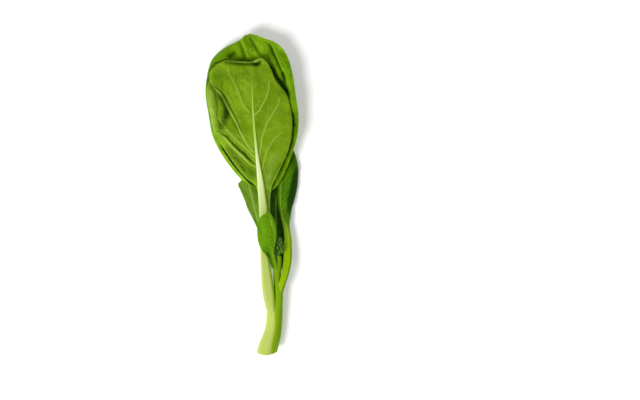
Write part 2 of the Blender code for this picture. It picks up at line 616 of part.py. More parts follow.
def build_bud_head(cutter):
    green = plant_material("bud_green", BUD_COLOR, STALK_ROUGHNESS)
    core, *rest = [mesh_object("bud_head", *piece, [green]) for piece in bud_pieces()]
    repeats = bpy.data.collections.new("buds")
    bpy.context.scene.collection.children.link(repeats)
    for piece in rest:
        repeats.objects.link(piece)
        bpy.context.scene.collection.objects.unlink(piece)
    join = core.modifiers.new("join_buds", "BOOLEAN")
    join.operation = "UNION"
    join.operand_type = "COLLECTION"
    join.collection = repeats
    join.solver = "MANIFOLD"
    bpy.context.view_layer.objects.active = core
    core.select_set(True)
    bpy.ops.object.modifier_apply(modifier=join.name)
    for piece in rest:
        bpy.data.objects.remove(piece, do_unlink=True)
    bpy.data.collections.remove(repeats)
    trim(core, cutter)
    return core


def build_shoot():
    clear_scene()
    build_stem()
    cutter = build_cutter()
    for name, leaf in LEAVES.items():
        build_leaf(name, leaf, cutter)
    build_bud_head(cutter)


build_shoot()
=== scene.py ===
# A cut shoot of choy sum laid on a pale table and seen from straight above.
# Each solid of the frame is replaced by a finer piece of the same form. Tables are in millimetres.
import math

import bpy
import numpy as np
from mathutils import Color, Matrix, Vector


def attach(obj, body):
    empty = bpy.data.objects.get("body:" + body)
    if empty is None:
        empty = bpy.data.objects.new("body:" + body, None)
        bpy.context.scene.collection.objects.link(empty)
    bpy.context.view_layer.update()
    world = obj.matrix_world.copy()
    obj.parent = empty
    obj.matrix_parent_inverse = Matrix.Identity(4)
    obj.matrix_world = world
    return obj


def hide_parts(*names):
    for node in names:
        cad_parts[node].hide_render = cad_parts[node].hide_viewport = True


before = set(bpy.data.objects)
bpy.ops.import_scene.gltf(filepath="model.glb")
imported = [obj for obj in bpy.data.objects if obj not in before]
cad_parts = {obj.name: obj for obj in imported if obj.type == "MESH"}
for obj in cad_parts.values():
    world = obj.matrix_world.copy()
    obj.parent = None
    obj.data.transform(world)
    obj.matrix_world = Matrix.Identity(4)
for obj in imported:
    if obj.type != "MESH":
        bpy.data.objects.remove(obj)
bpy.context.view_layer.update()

mm = 0.001
print("frame loaded:", ", ".join(sorted(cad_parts)))


# Curves and small sums

def smoothStep(value):
    value = np.clip(value, 0.0, 1.0)
    return value * value * (3 - 2 * value)


def unit(vectors):
    return vectors / np.linalg.norm(vectors, axis=-1, keepdims=True)


def between(ends, share):
    return ends[0] + (ends[1] - ends[0]) * share


def smoothCurve(knots, places, at):  # cubic through the knots
    spans = np.diff(places)[:, None]
    rates = np.diff(knots, axis=0) / spans
    slopes = np.empty_like(knots)
    slopes[0] = rates[0]
    slopes[-1] = rates[-1]
    slopes[1:-1] = (rates[:-1] * spans[1:] + rates[1:] * spans[:-1]) / (spans[1:] + spans[:-1])
    flat = np.ravel(at)
    span = np.clip(np.searchsorted(places, flat, side="right") - 1, 0, len(spans) - 1)
    width = spans[span]
    share = ((flat - places[span]) / width[:, 0])[:, None]
    curve = (
        knots[span] * (2 * share**3 - 3 * share**2 + 1)
        + knots[span + 1] * (3 * share**2 - 2 * share**3)
        + slopes[span] * width * (share**3 - 2 * share**2 + share)
        + slopes[span + 1] * width * (share**3 - share**2)
    )
    return curve.reshape(np.shape(at) + (knots.shape[1],))


def knotPlaces(points):
    return np.concatenate([[0], np.cumsum(np.linalg.norm(np.diff(points, axis=0), axis=1))])


def softWaves(x, y, seed, length, height):  # a few crossing waves, which read as uneven growth
    draw = np.random.default_rng(seed)
    total = np.zeros(np.shape(x))
    for _ in range(6):
        turn, phase = draw.uniform(0, 2 * math.pi, 2)
        size = length * draw.uniform(0.7, 1.5)
        total += np.sin((x * math.cos(turn) + y * math.sin(turn)) * 2 * math.pi / size + phase)
    return height * total / 3


# Building meshes

def meshPiece(name, points, faces, materials, faceMaterials, marks):  # points in millimetres
    mesh = bpy.data.meshes.new(name)
    mesh.from_pydata((np.asarray(points) * mm).tolist(), [], [list(map(int, face)) for face in faces])
    for material in materials:
        mesh.materials.append(material)
    mesh.polygons.foreach_set("material_index", np.asarray(faceMaterials, np.int32))
    mesh.shade_smooth()
    for key, values in marks.items():
        values = np.asarray(values, np.float32)
        kind, field = ("FLOAT", "value") if values.ndim == 1 else ("FLOAT_VECTOR", "vector")
        mesh.attributes.new(key, kind, "POINT").data.foreach_set(field, values.ravel())
    piece = bpy.data.objects.new(name, mesh)
    bpy.context.scene.collection.objects.link(piece)
    return piece


def gridQuads(rowCount, columnCount):
    index = np.arange(rowCount * columnCount).reshape(rowCount, columnCount)
    corners = [index[:-1, :-1], index[:-1, 1:], index[1:, 1:], index[1:, :-1]]
    return np.stack(corners, axis=-1).reshape(-1, 4)


def sheetQuads(rowCount, columnCount):  # two faces of a sheet and the rim between them
    low = rowCount * columnCount
    high = gridQuads(rowCount, columnCount)
    index = np.arange(low).reshape(rowCount, columnCount)
    loop = np.concatenate([index[0, :-1], index[:-1, -1], index[-1, :0:-1], index[:0:-1, 0]])
    following = np.roll(loop, -1)
    rim = np.stack([loop, loop + low, following + low, following], axis=-1)
    return high, high[:, ::-1] + low, rim


def tubeFaces(rowCount, sideCount, first=0, turned=False):  # quads round a tube and its two ends
    index = first + np.arange(rowCount * sideCount).reshape(rowCount, sideCount)
    wrapped = np.concatenate([index, index[:, :1]], axis=1)
    corners = [wrapped[:-1, :-1], wrapped[:-1, 1:], wrapped[1:, 1:], wrapped[1:, :-1]]
    quads = np.stack(corners, axis=-1).reshape(-1, 4)
    ends = [index[0, ::-1], index[-1]]
    if turned:
        quads = quads[:, [0, 3, 2, 1]]
        ends = [end[::-1] for end in ends]
    return quads.tolist() + [end.tolist() for end in ends]


def dressed(piece, node):
    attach(piece, "root")
    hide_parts(node)
    print(f"{piece.name}: {len(piece.data.polygons)} faces")


# Building materials

def tone(red, green, blue):  # a colour as a screen shows it, 0 to 255
    color = Color((red / 255, green / 255, blue / 255)).from_srgb_to_scene_linear()
    return (*color, 1.0)


def put(tree, kind, **settings):
    node = tree.nodes.new(kind)
    for key, value in settings.items():
        setattr(node, key, value)
    return node


def feed(tree, socket, value):
    if isinstance(value, bpy.types.NodeSocket):
        tree.links.new(value, socket)
    else:
        socket.default_value = value


def mathOf(tree, operation, first, second):
    node = put(tree, "ShaderNodeMath", operation=operation)
    feed(tree, node.inputs[0], first)
    feed(tree, node.inputs[1], second)
    return node.outputs[0]


def times(tree, first, second):
    return mathOf(tree, "MULTIPLY", first, second)


def plus(tree, first, second):
    return mathOf(tree, "ADD", first, second)


def scaled(tree, vector, factors):
    node = put(tree, "ShaderNodeVectorMath", operation="MULTIPLY")
    feed(tree, node.inputs[0], vector)
    feed(tree, node.inputs[1], factors)
    return node.outputs[0]


def rangeOf(tree, value, low, high, toLow=0.0, toHigh=1.0, kind="SMOOTHSTEP"):
    node = put(tree, "ShaderNodeMapRange", interpolation_type=kind)
    given = {"Value": value, "From Min": low, "From Max": high, "To Min": toLow, "To Max": toHigh}
    for key, number in given.items():
        feed(tree, node.inputs[key], number)
    return node.outputs[0]


def mixOf(tree, factor, first, second, blend="MIX"):
    node = put(tree, "ShaderNodeMix", data_type="RGBA", blend_type=blend)
    feed(tree, node.inputs["Factor"], factor)
    feed(tree, node.inputs[6], first)
    feed(tree, node.inputs[7], second)
    return node.outputs[2]


def placeOf(tree):
    return put(tree, "ShaderNodeTexCoord").outputs["Object"]


def markOf(tree, name, output="Fac"):
    return put(tree, "ShaderNodeAttribute", attribute_name=name).outputs[output]


def noiseOf(tree, place, scale, detail=3.0, roughness=0.5):
    node = put(tree, "ShaderNodeTexNoise")
    feed(tree, node.inputs["Vector"], place)
    feed(tree, node.inputs["Scale"], scale)
    node.inputs["Detail"].default_value = detail
    node.inputs["Roughness"].default_value = roughness
    return node.outputs["Fac"]


socketKinds = {"value": "NodeSocketFloat", "vector": "NodeSocketVector", "color": "NodeSocketColor"}


def startGroup(name, takes, gives):
    tree = bpy.data.node_groups.new(name, "ShaderNodeTree")
    for key, kind in takes.items():
        tree.interface.new_socket(name=key, in_out="INPUT", socket_type=socketKinds[kind])
    for key, kind in gives.items():
        tree.interface.new_socket(name=key, in_out="OUTPUT", socket_type=socketKinds[kind])
    return tree, put(tree, "NodeGroupInput").outputs, put(tree, "NodeGroupOutput").inputs


def placeGroup(tree, group, **given):
    node = put(tree, "ShaderNodeGroup", node_tree=group)
    for key, value in given.items():
        feed(tree, node.inputs[key], value)
    return node.outputs


def netGroup():  # the closed mesh of the smallest veins
    tree, takes, gives = startGroup("leafNet", {"place": "vector", "cell": "value"}, {"net": "value"})
    density = mathOf(tree, "DIVIDE", 1.0, takes["cell"])
    wobble = put(tree, "ShaderNodeTexNoise")
    feed(tree, wobble.inputs["Vector"], takes["place"])
    feed(tree, wobble.inputs["Scale"], times(tree, density, 0.8))
    push = put(tree, "ShaderNodeVectorMath", operation="SCALE")
    feed(tree, push.inputs[0], wobble.outputs["Color"])
    feed(tree, push.inputs["Scale"], times(tree, takes["cell"], 0.7))
    moved = put(tree, "ShaderNodeVectorMath", operation="ADD")
    feed(tree, moved.inputs[0], takes["place"])
    feed(tree, moved.inputs[1], push.outputs[0])
    cells = put(tree, "ShaderNodeTexVoronoi", feature="DISTANCE_TO_EDGE")
    feed(tree, cells.inputs["Vector"], moved.outputs[0])
    feed(tree, cells.inputs["Scale"], density)
    feed(tree, gives["net"], rangeOf(tree, cells.outputs["Distance"], 0.16, 0.0))
    return tree


def mottleGroup():  # slow and quick unevenness of the green
    tree, takes, gives = startGroup("leafMottle", {"place": "vector", "size": "value"}, {"shade": "value"})
    density = mathOf(tree, "DIVIDE", 1.0, takes["size"])
    slow = noiseOf(tree, takes["place"], density)
    quick = noiseOf(tree, takes["place"], times(tree, density, 7.0), 2.0)
    both = plus(tree, times(tree, slow, 0.7), times(tree, quick, 0.3))
    feed(tree, gives["shade"], rangeOf(tree, both, 0.32, 0.68))
    return tree


def fibreGroup():  # long fine strands under the skin of stalks and stem
    takes = {"grain": "vector", "width": "value"}
    tree, takes, gives = startGroup("stalkFibres", takes, {"fibre": "value"})
    density = mathOf(tree, "DIVIDE", 1.0, takes["width"])
    stretched = scaled(tree, takes["grain"], (1.0, 0.03, 1.0))
    strands = noiseOf(tree, stretched, density, 4.0, 0.6)
    feed(tree, gives["fibre"], rangeOf(tree, strands, 0.35, 0.65))
    return tree


skinLook = {
    "marks": ("rib", "vein", "margin", "paintedLightAndShade", "along", "across"),  # as each leaf's mesh holds them
    "tones": ("deep", "fresh", "veins", "stalkFoot", "stalkTip", "stalkRight", "edge"),
    "amounts": ("netTint", "veinTint", "roughness"),
    "finerNet": 0.4,  # its cells, as a share of the net's
    "mottleSize": 0.014,
    "fibreWidth": 0.0011,
    # a near-black green, the painted shade in slits, creases and blades lying in a neighbour's shade
    "paintedShadeTone": tone(12, 50, 0),
    "paintedLightShadeShares": (0.8, 0.92),  # how far the painted light pales the blade and the painted shade darkens it
    "marginShare": 0.42,
    "fibreShare": 0.16,
    "tipAlong": (0.28, 0.5),  # from where to where along a leaf the stalk takes the tone of its tip
    "veinsAlong": (0.55, 0.72),
    "bladeAlong": (0.76, 0.92),
    "rightAcross": (0.35, 0.95),
}


def skinGroup(look, net, mottle, fibres):  # one side of a leaf, from stalk to margin
    takes = {"place": "vector", "grain": "vector", "netCell": "value"}
    takes.update(dict.fromkeys(look["marks"] + look["amounts"], "value"))
    takes.update(dict.fromkeys(look["tones"], "color"))
    gives = {"color": "color", "roughness": "value", "height": "value"}
    tree, takes, gives = startGroup("leafSkin", takes, gives)
    netMask = placeGroup(tree, net, place=takes["place"], cell=takes["netCell"])["net"]
    finerCell = times(tree, takes["netCell"], look["finerNet"])
    finer = placeGroup(tree, net, place=takes["place"], cell=finerCell)["net"]
    shade = placeGroup(tree, mottle, place=takes["place"], size=look["mottleSize"])["shade"]
    fibre = placeGroup(tree, fibres, grain=takes["grain"], width=look["fibreWidth"])["fibre"]

    blade = mixOf(tree, shade, takes["deep"], takes["fresh"])
    lace = plus(tree, times(tree, netMask, 0.7), times(tree, finer, 0.3))
    blade = mixOf(tree, times(tree, lace, takes["netTint"]), blade, takes["veins"])
    blade = mixOf(tree, times(tree, takes["vein"], takes["veinTint"]), blade, takes["veins"])
    # Painted light and shade: below 0 the mark pales the blade towards its edge tone, mostly as painted
    # light and partly as paler tissue; above 0 it darkens the blade as painted shade.
    palest, darkest = look["paintedLightShadeShares"]
    pale = rangeOf(tree, takes["paintedLightAndShade"], 0.0, -1.0, 0.0, palest, "LINEAR")
    dark = rangeOf(tree, takes["paintedLightAndShade"], 0.0, 1.0, 0.0, darkest, "LINEAR")
    blade = mixOf(tree, dark, mixOf(tree, pale, blade, takes["edge"]), look["paintedShadeTone"])
    blade = mixOf(tree, times(tree, takes["margin"], look["marginShare"]), blade, takes["edge"])

    stalk = takes["stalkFoot"]
    for mark, ends, color in (
        ("along", "tipAlong", takes["stalkTip"]), ("across", "rightAcross", takes["stalkRight"]),
        ("along", "veinsAlong", takes["veins"]), ("along", "bladeAlong", blade),
    ):
        stalk = mixOf(tree, rangeOf(tree, takes[mark], *look[ends]), stalk, color)
    strand = times(tree, mathOf(tree, "SUBTRACT", 1.0, fibre), look["fibreShare"])
    stalk = mixOf(tree, strand, stalk, takes["stalkRight"])
    feed(tree, gives["color"], mixOf(tree, takes["rib"], blade, stalk))

    rough = plus(tree, takes["roughness"], times(tree, shade, 0.1))
    feed(tree, gives["roughness"], plus(tree, rough, times(tree, lace, 0.08)))

    tissue = times(tree, lace, mathOf(tree, "SUBTRACT", 1.0, takes["rib"]))
    strands = times(tree, times(tree, fibre, 0.5), takes["rib"])
    height = plus(tree, tissue, strands)
    feed(tree, gives["height"], plus(tree, height, times(tree, shade, 0.3)))
    return tree


net, mottle, fibres = netGroup(), mottleGroup(), fibreGroup()
skin = skinGroup(skinLook, net, mottle, fibres)


def startMaterial(name, color):
    material = bpy.data.materials.new(name)
    material.use_nodes = True
    material.diffuse_color = color
    return material, material.node_tree, material.node_tree.nodes["Principled BSDF"]


def setShader(shader, settings):
    for key, value in settings.items():
        shader.inputs[key].default_value = value


def finishSkin(tree, shader, color, roughness, height, relief, settings):  # relief in millimetres
    bump = put(tree, "ShaderNodeBump")
    feed(tree, bump.inputs["Height"], height)
    bump.inputs["Distance"].default_value = relief * mm
    feed(tree, shader.inputs["Base Color"], color)
    feed(tree, shader.inputs["Roughness"], roughness)
    feed(tree, shader.inputs["Normal"], bump.outputs[0])
    setShader(shader, settings)


def leafMaterial(name, look, netCell):
    material, tree, shader = startMaterial(name, look["fresh"])
    given = {key: markOf(tree, key) for key in skinLook["marks"]}
    given.update({key: look[key] for key in skinLook["tones"] + skinLook["amounts"]})
    given.update({"place": placeOf(tree), "grain": markOf(tree, "grain", "Vector"), "netCell": netCell * mm})
    done = placeGroup(tree, skin, **given)
    finishSkin(tree, shader, done["color"], done["roughness"], done["height"], look["bump"], {
        "Subsurface Weight": look["glow"], "Subsurface Radius": (0.4, 0.6, 0.1), "Subsurface Scale": 0.003,
        "Specular IOR Level": look["shine"], "Specular Tint": (0.7, 1.0, 0.3, 1.0),
        "Coat Weight": look["wax"], "Coat Roughness": 0.3,
    })
    return material


# The blades

flareWidth = 3.0  # over this width a stalk turns into a blade
bladeThickness = 0.7
stalkGroove = 0.9
leastRib = 0.3  # half width
tipLength = 12.0  # over this length the rows of points close up towards the tip
veinCurve = (0.85, 0.16, 1.3)  # a side vein: share of the width, share of the length, bend
branchAngles = (46, 64)  # degrees from the vein that it leaves
branchGaps = (0.5, 0.9)  # where in its share of the vein a branch leaves
branchSizes = (0.75, 1.15)
quiltReach = 5.0  # how far from a main vein the blade has swelled
puckerReach = 1.6  # the same for the small veins
marginWidth = 0.9

plainLeaf = {  # what a leaf has where its own table says nothing else
    "undersideUp": False,
    "crest": 2.0,
    "tipRound": 2.0,
    "shifts": [],
    "folds": [],
    "crinkles": [],
    "rolls": ((0, 1), (0, 1)),
}
dullSide = {
    "netTint": 0.18, "veinTint": 0.8, "roughness": 0.5, "bump": 0.1, "glow": 0.08, "shine": 0.35,
    "wax": 0.0,
}
glossySide = {
    "netTint": 0.1, "veinTint": 0.6, "roughness": 0.42, "bump": 0.12, "glow": 0.04, "shine": 0.12,
    "wax": 0.0,
}


def stalk(x, y, z, half, depth):  # a station of a leaf where it is bare stalk
    return (x, y, z), (half, depth), (half, 0, 0), (half, 0, 0)


def leafRows(leaf):  # x, y, z, rib, depth, left (3 values), right (3 values)
    knots = np.array([np.hstack(station) for station in leaf["stations"]], float)
    places = knotPlaces(knots[:, [0, 1, 2, 5, 8]])
    fine = np.linspace(0, places[-1], 1600)
    values = smoothCurve(knots, places, fine)
    wing = np.maximum(values[:, 5], values[:, 8]) - values[:, 3]
    bladeStep, stalkStep = leaf["steps"]
    step = stalkStep + (bladeStep - stalkStep) * smoothStep(wing / flareWidth + 0.5)
    forward = np.linalg.norm(np.diff(values[:, :3], axis=0), axis=1) / np.diff(fine)
    nearTip = smoothStep(1 - (places[-1] - fine[1:]) / tipLength)
    density = (forward + (1 - forward) * nearTip) / step[1:]  # rows lie closer where the tip closes
    count = np.concatenate([[0], np.cumsum(np.diff(fine) * density)])
    at = np.interp(np.linspace(0, count[-1], math.ceil(count[-1]) + 1), count, fine)
    rows = smoothCurve(knots, places, at)
    rows[:, 3] = np.maximum(rows[:, 3], leastRib)
    rows[:, 5] = np.maximum(rows[:, 5], rows[:, 3])
    rows[:, 8] = np.maximum(rows[:, 8], rows[:, 3])
    left = np.clip((places[-1] - at) / leaf["tipRound"], 0.004, 1)
    rows[:, [3, 5, 8]] *= np.sqrt(1 - (1 - left) ** 2)[:, None]
    return rows, at / places[-1]


def lineOffset(points, line):  # distance from a line, more than 0 on its left, and the share along it
    nearest = np.full(points.shape[:-1], np.inf)
    signed, share = np.zeros_like(nearest), np.zeros_like(nearest)
    line = np.array(line, float)
    for k, (start, end) in enumerate(zip(line[:-1], line[1:])):
        along, away = end - start, points - start
        part = np.clip(away @ along / (along @ along), 0, 1)
        distance = np.linalg.norm(away - part[..., None] * along, axis=-1)
        side = np.sign(along[0] * away[..., 1] - along[1] * away[..., 0])
        closer = distance < nearest
        nearest = np.where(closer, distance, nearest)
        signed = np.where(closer, side * distance, signed)
        share = np.where(closer, (k + part) / (len(line) - 1), share)
    return signed, share


def foldShare(points, line, width, side):  # side 0 folds both sides of the line, 1 its left, -1 its right
    signed, share = lineOffset(points, line)
    if side:
        away = np.clip(signed * side, 0, None) / (0.35 * width)
        sunk = away * np.exp(1 - away)
    else:
        sunk = np.exp(-((signed / width) ** 2))
    return sunk * smoothStep(np.minimum(share, 1 - share) / 0.25 + 0.15)


def sideVeins(rows, shares, starts):
    lines = []
    farOut, farAlong, bend = veinCurve
    for start in starts:
        for side, width in ((-1, 5), (1, 8)):
            line = []
            for out in np.linspace(0, farOut, 5):
                at = min(start + farAlong * out**bend, 1.0)
                x, y, reach = (np.interp(at, shares, rows[:, k]) for k in (0, 1, width))
                line.append((x + side * out * reach, y))
            lines.append(np.array(line))
    return lines


def branchesOf(line, spacing, reach, draw):  # veins that leave a line by turns, bending along with it
    places = knotPlaces(line)
    count = int(places[-1] / spacing)
    for k in range(count):
        at = places[-1] * (k + draw.uniform(*branchGaps)) / count
        x, y = (np.interp(at, places, line[:, axis]) for axis in (0, 1))
        ahead = [np.interp(at + 1.0, places, line[:, axis]) for axis in (0, 1)]
        behind = [np.interp(at - 1.0, places, line[:, axis]) for axis in (0, 1)]
        heading = math.atan2(ahead[1] - behind[1], ahead[0] - behind[0])
        turn = math.radians(draw.uniform(*branchAngles)) * (1 if k % 2 else -1)
        length = reach * draw.uniform(*branchSizes) * (1 - 0.4 * k / count)
        branch = [(x, y)]
        for _ in range(5):
            x += length / 5 * math.cos(heading + turn)
            y += length / 5 * math.sin(heading + turn)
            turn *= 0.8
            branch.append((x, y))
        yield np.array(branch)


def veinTree(leaf, rows, shares):  # (line, widths, height, tint) of every vein
    sizes = leaf["veinSizes"]
    draw = np.random.default_rng(leaf["seed"])
    if "veins" in leaf:
        mains = [np.array(line, float) for line in leaf["veins"]]
    else:
        mains = sideVeins(rows, shares, leaf["veinStarts"])
    blade = rows[np.maximum(rows[:, 5], rows[:, 8]) > rows[:, 3] + flareWidth][:, :2]
    widths, heights, tints = (np.array(pair) for pair in sizes["main"])
    strengths = leaf.get("veinStrengths", [1.0] * len(mains))
    veins = [
        (line, widths, heights * strong, tints * min(strong, 1)) for line, strong in zip(mains, strengths)
    ]
    for parent in [*mains, blade]:
        for branch in branchesOf(parent, *leaf["branches"], draw):
            veins.append((branch, *sizes["branch"]))
            veins += [(twig, *sizes["twig"]) for twig in branchesOf(branch, *leaf["twigs"], draw)]
    return mains, veins


def veinField(plan, veins, reach=5.0):  # height and tint of the veins, and the distance to the nearest one
    x, y = plan[..., 0].ravel(), plan[..., 1].ravel()
    height, tint, nearest = np.zeros(x.size), np.zeros(x.size), np.full(x.size, reach)
    for line, widths, high, shade in veins:
        for k, (start, end) in enumerate(zip(line[:-1], line[1:])):
            low, top = np.minimum(start, end) - reach, np.maximum(start, end) + reach
            near = np.nonzero((x > low[0]) & (x < top[0]) & (y > low[1]) & (y < top[1]))[0]
            along = end - start
            awayX, awayY = x[near] - start[0], y[near] - start[1]
            part = np.clip((awayX * along[0] + awayY * along[1]) / (along @ along), 0, 1)
            distance = np.hypot(awayX - part * along[0], awayY - part * along[1])
            share = (k + part) / (len(line) - 1)
            profile = np.exp(-((distance / between(widths, share)) ** 2))
            height[near] = np.maximum(height[near], profile * between(high, share))
            tint[near] = np.maximum(tint[near], profile * between(shade, share))
            nearest[near] = np.minimum(nearest[near], distance)
    return (values.reshape(plan.shape[:-1]) for values in (height, tint, nearest))


def sheetNormals(points):
    return unit(np.cross(np.gradient(points, axis=1), np.gradient(points, axis=0)))


def halfBlade(leaf, rows, side):
    first = 5 if side < 0 else 8
    rib = rows[:, 3:4]
    width, half, edge = (rows[:, first + k, None] for k in range(3))
    ribColumns, bladeColumns = leaf["columns"]
    ribShare = np.sin(np.linspace(0, math.pi / 2, ribColumns + 1))
    wingShare = np.arange(1, bladeColumns + 1) / bladeColumns
    blade = np.concatenate([rib * ribShare, rib + (width - rib) * wingShare], axis=1)
    last = ribColumns + bladeColumns
    stalk = width * np.sin(math.pi / 2 * np.arange(last + 1) / last)
    flare = smoothStep((width - rib) / flareWidth)
    across = stalk + (blade - stalk) * flare
    out = across / width
    height, length = leaf["waves"]
    rise = (8 * half - edge) * out**2 + (2 * edge - 8 * half) * out**3
    rise += flare * height * out**3 * np.sin(2 * math.pi * rows[:, 1:2] / length + side)
    ruffle, ruffleLength = leaf["ruffles"]
    rise += flare * ruffle * out**6 * np.sin(2 * math.pi * rows[:, 1:2] / ruffleLength + 2.1 * side)
    drop, reach = leaf["rolls"][0 if side < 0 else 1]
    rise -= flare * drop * np.clip(1 - (width - across) / reach, 0, 1) ** 2
    x = rows[:, 0:1] + side * across
    y = rows[:, 1:2] + 0 * across
    for fromY, toY, shift in leaf["shifts"]:
        shift = np.array(shift)
        y = y + smoothStep((y - fromY) / (toY - fromY)) * np.interp(x, shift[:, 0], shift[:, 1])
    place = np.stack([x, y, rows[:, 2:3] + rise], axis=-1)
    return place, out, across / rib


def joinHalves(left, right):
    return np.concatenate([left[:, :0:-1], right], axis=1)


def leafSheet(leaf):
    rows, shares = leafRows(leaf)
    left, right = halfBlade(leaf, rows, -1), halfBlade(leaf, rows, 1)
    points, outs, ribs = (joinHalves(a, b) for a, b in zip(left, right))
    plan = points[..., :2].copy()
    mains, veins = veinTree(leaf, rows, shares)
    height, tint, nearest = veinField(plan, veins)
    wing = (np.maximum(rows[:, 5], rows[:, 8]) - rows[:, 3])[:, None]
    onBlade = smoothStep((ribs - 1) * rows[:, 3:4] / 6) * smoothStep((1 - outs) * 4) * smoothStep(wing / 8)
    facing = -1 if leaf["undersideUp"] else 1
    apart = np.min([abs(lineOffset(plan, line)[0]) for line in mains], axis=0)
    swell = leaf["quilting"] * (1 - np.exp(-((apart / quiltReach) ** 2)))
    swell += leaf["pucker"] * (1 - np.exp(-((nearest / puckerReach) ** 2)))
    # Each fold's shade is painted into the colour: above 0 as painted shade, below 0 mostly as painted
    # light.
    sunk, dark = np.zeros(outs.shape), np.zeros(outs.shape)
    for depth, width, side, shade, line in leaf["folds"]:
        share = foldShare(plan, line, width, side)
        sunk += depth * share
        dark += shade * share
    uneven = softWaves(plan[..., 0], plan[..., 1], leaf["seed"], *leaf["growth"])
    for x, y, radius, heading, spacing, ridge in leaf["crinkles"]:  # ridges where the blade grew faster
        away = plan - (x, y)
        along = away[..., 0] * math.cos(heading) + away[..., 1] * math.sin(heading)
        bent = along + softWaves(plan[..., 0], plan[..., 1], leaf["seed"] + 1, 3 * spacing, 0.5 * spacing)
        fade = np.exp(-((away**2).sum(axis=-1) / radius**2) ** 2)
        uneven = uneven + ridge * fade * np.sin(2 * math.pi * bent / spacing)
    rise = (facing * swell + uneven) * onBlade - sunk
    points = points + sheetNormals(points) * rise[..., None]
    lengths = knotPlaces(rows[:, :3])
    toEnd = (lengths[-1] - lengths)[:, None] + 0 * outs
    toSide = (1 - outs) * wing
    middle = ribs.shape[1] // 2
    signed = np.concatenate([-ribs[:, :middle], ribs[:, middle:]], axis=1)
    marks = {
        "rib": smoothStep((1.12 - ribs) / 0.24),
        "vein": tint * smoothStep((ribs - 0.9) / 0.5),
        "margin": smoothStep(1 - np.minimum(toSide, toEnd) / marginWidth) * smoothStep(wing / 4),
        "paintedLightAndShade": np.clip(dark, -1, 1),
        "along": np.broadcast_to(shares[:, None], outs.shape),
        "across": signed.clip(-1, 1),
    }
    across = plan[..., 0] - rows[:, 0:1]
    grain = np.stack([across, np.broadcast_to(lengths[:, None], across.shape), 0 * across], axis=-1)
    return rows, points, outs, ribs, wing, height * smoothStep((ribs - 0.9) / 0.5), marks, grain


def leafPiece(name, leaf):
    rows, middle, outs, ribs, wing, veinHeight, marks, grain = leafSheet(leaf)
    normals = sheetNormals(middle)
    roundShare = np.sqrt(np.clip(1 - ribs ** leaf["crest"], 0, 1))
    thin = 1 - 0.6 * smoothStep((outs - 0.75) * 4) * smoothStep(wing / flareWidth)
    half = bladeThickness / 2 * thin
    under = half + rows[:, 4, None] * roundShare + veinHeight
    upper = half - stalkGroove * np.clip(rows[:, 4, None] / 4, 0, 1) * roundShare - 0.4 * veinHeight
    high, low = (under, upper) if leaf["undersideUp"] else (upper, under)
    sides = [middle + normals * high[..., None], middle - normals * low[..., None]]
    for side, least in zip(sides, (0.3, 0.0)):  # what would reach under the table lies flat on it
        side[..., 2] = np.maximum(side[..., 2], least)
    points = np.concatenate([side.reshape(-1, 3) for side in sides])
    highFaces, lowFaces, rim = sheetQuads(*ribs.shape)
    faces = np.concatenate([highFaces, lowFaces, rim])
    highSide, lowSide = (0, 1) if leaf["undersideUp"] else (1, 0)
    faceMaterials = np.concatenate([
        np.full(len(highFaces), highSide), np.full(len(lowFaces), lowSide), np.full(len(rim), highSide),
    ])
    marks = {key: np.tile(values.reshape(-1), 2) for key, values in marks.items()}
    marks["grain"] = np.tile(grain.reshape(-1, 3) * mm, (2, 1))
    materials = [
        leafMaterial(name + side, leaf[side.lower()], leaf["netCell"]) for side in ("Under", "Upper")
    ]
    return meshPiece(name, points, faces, materials, faceMaterials, marks)


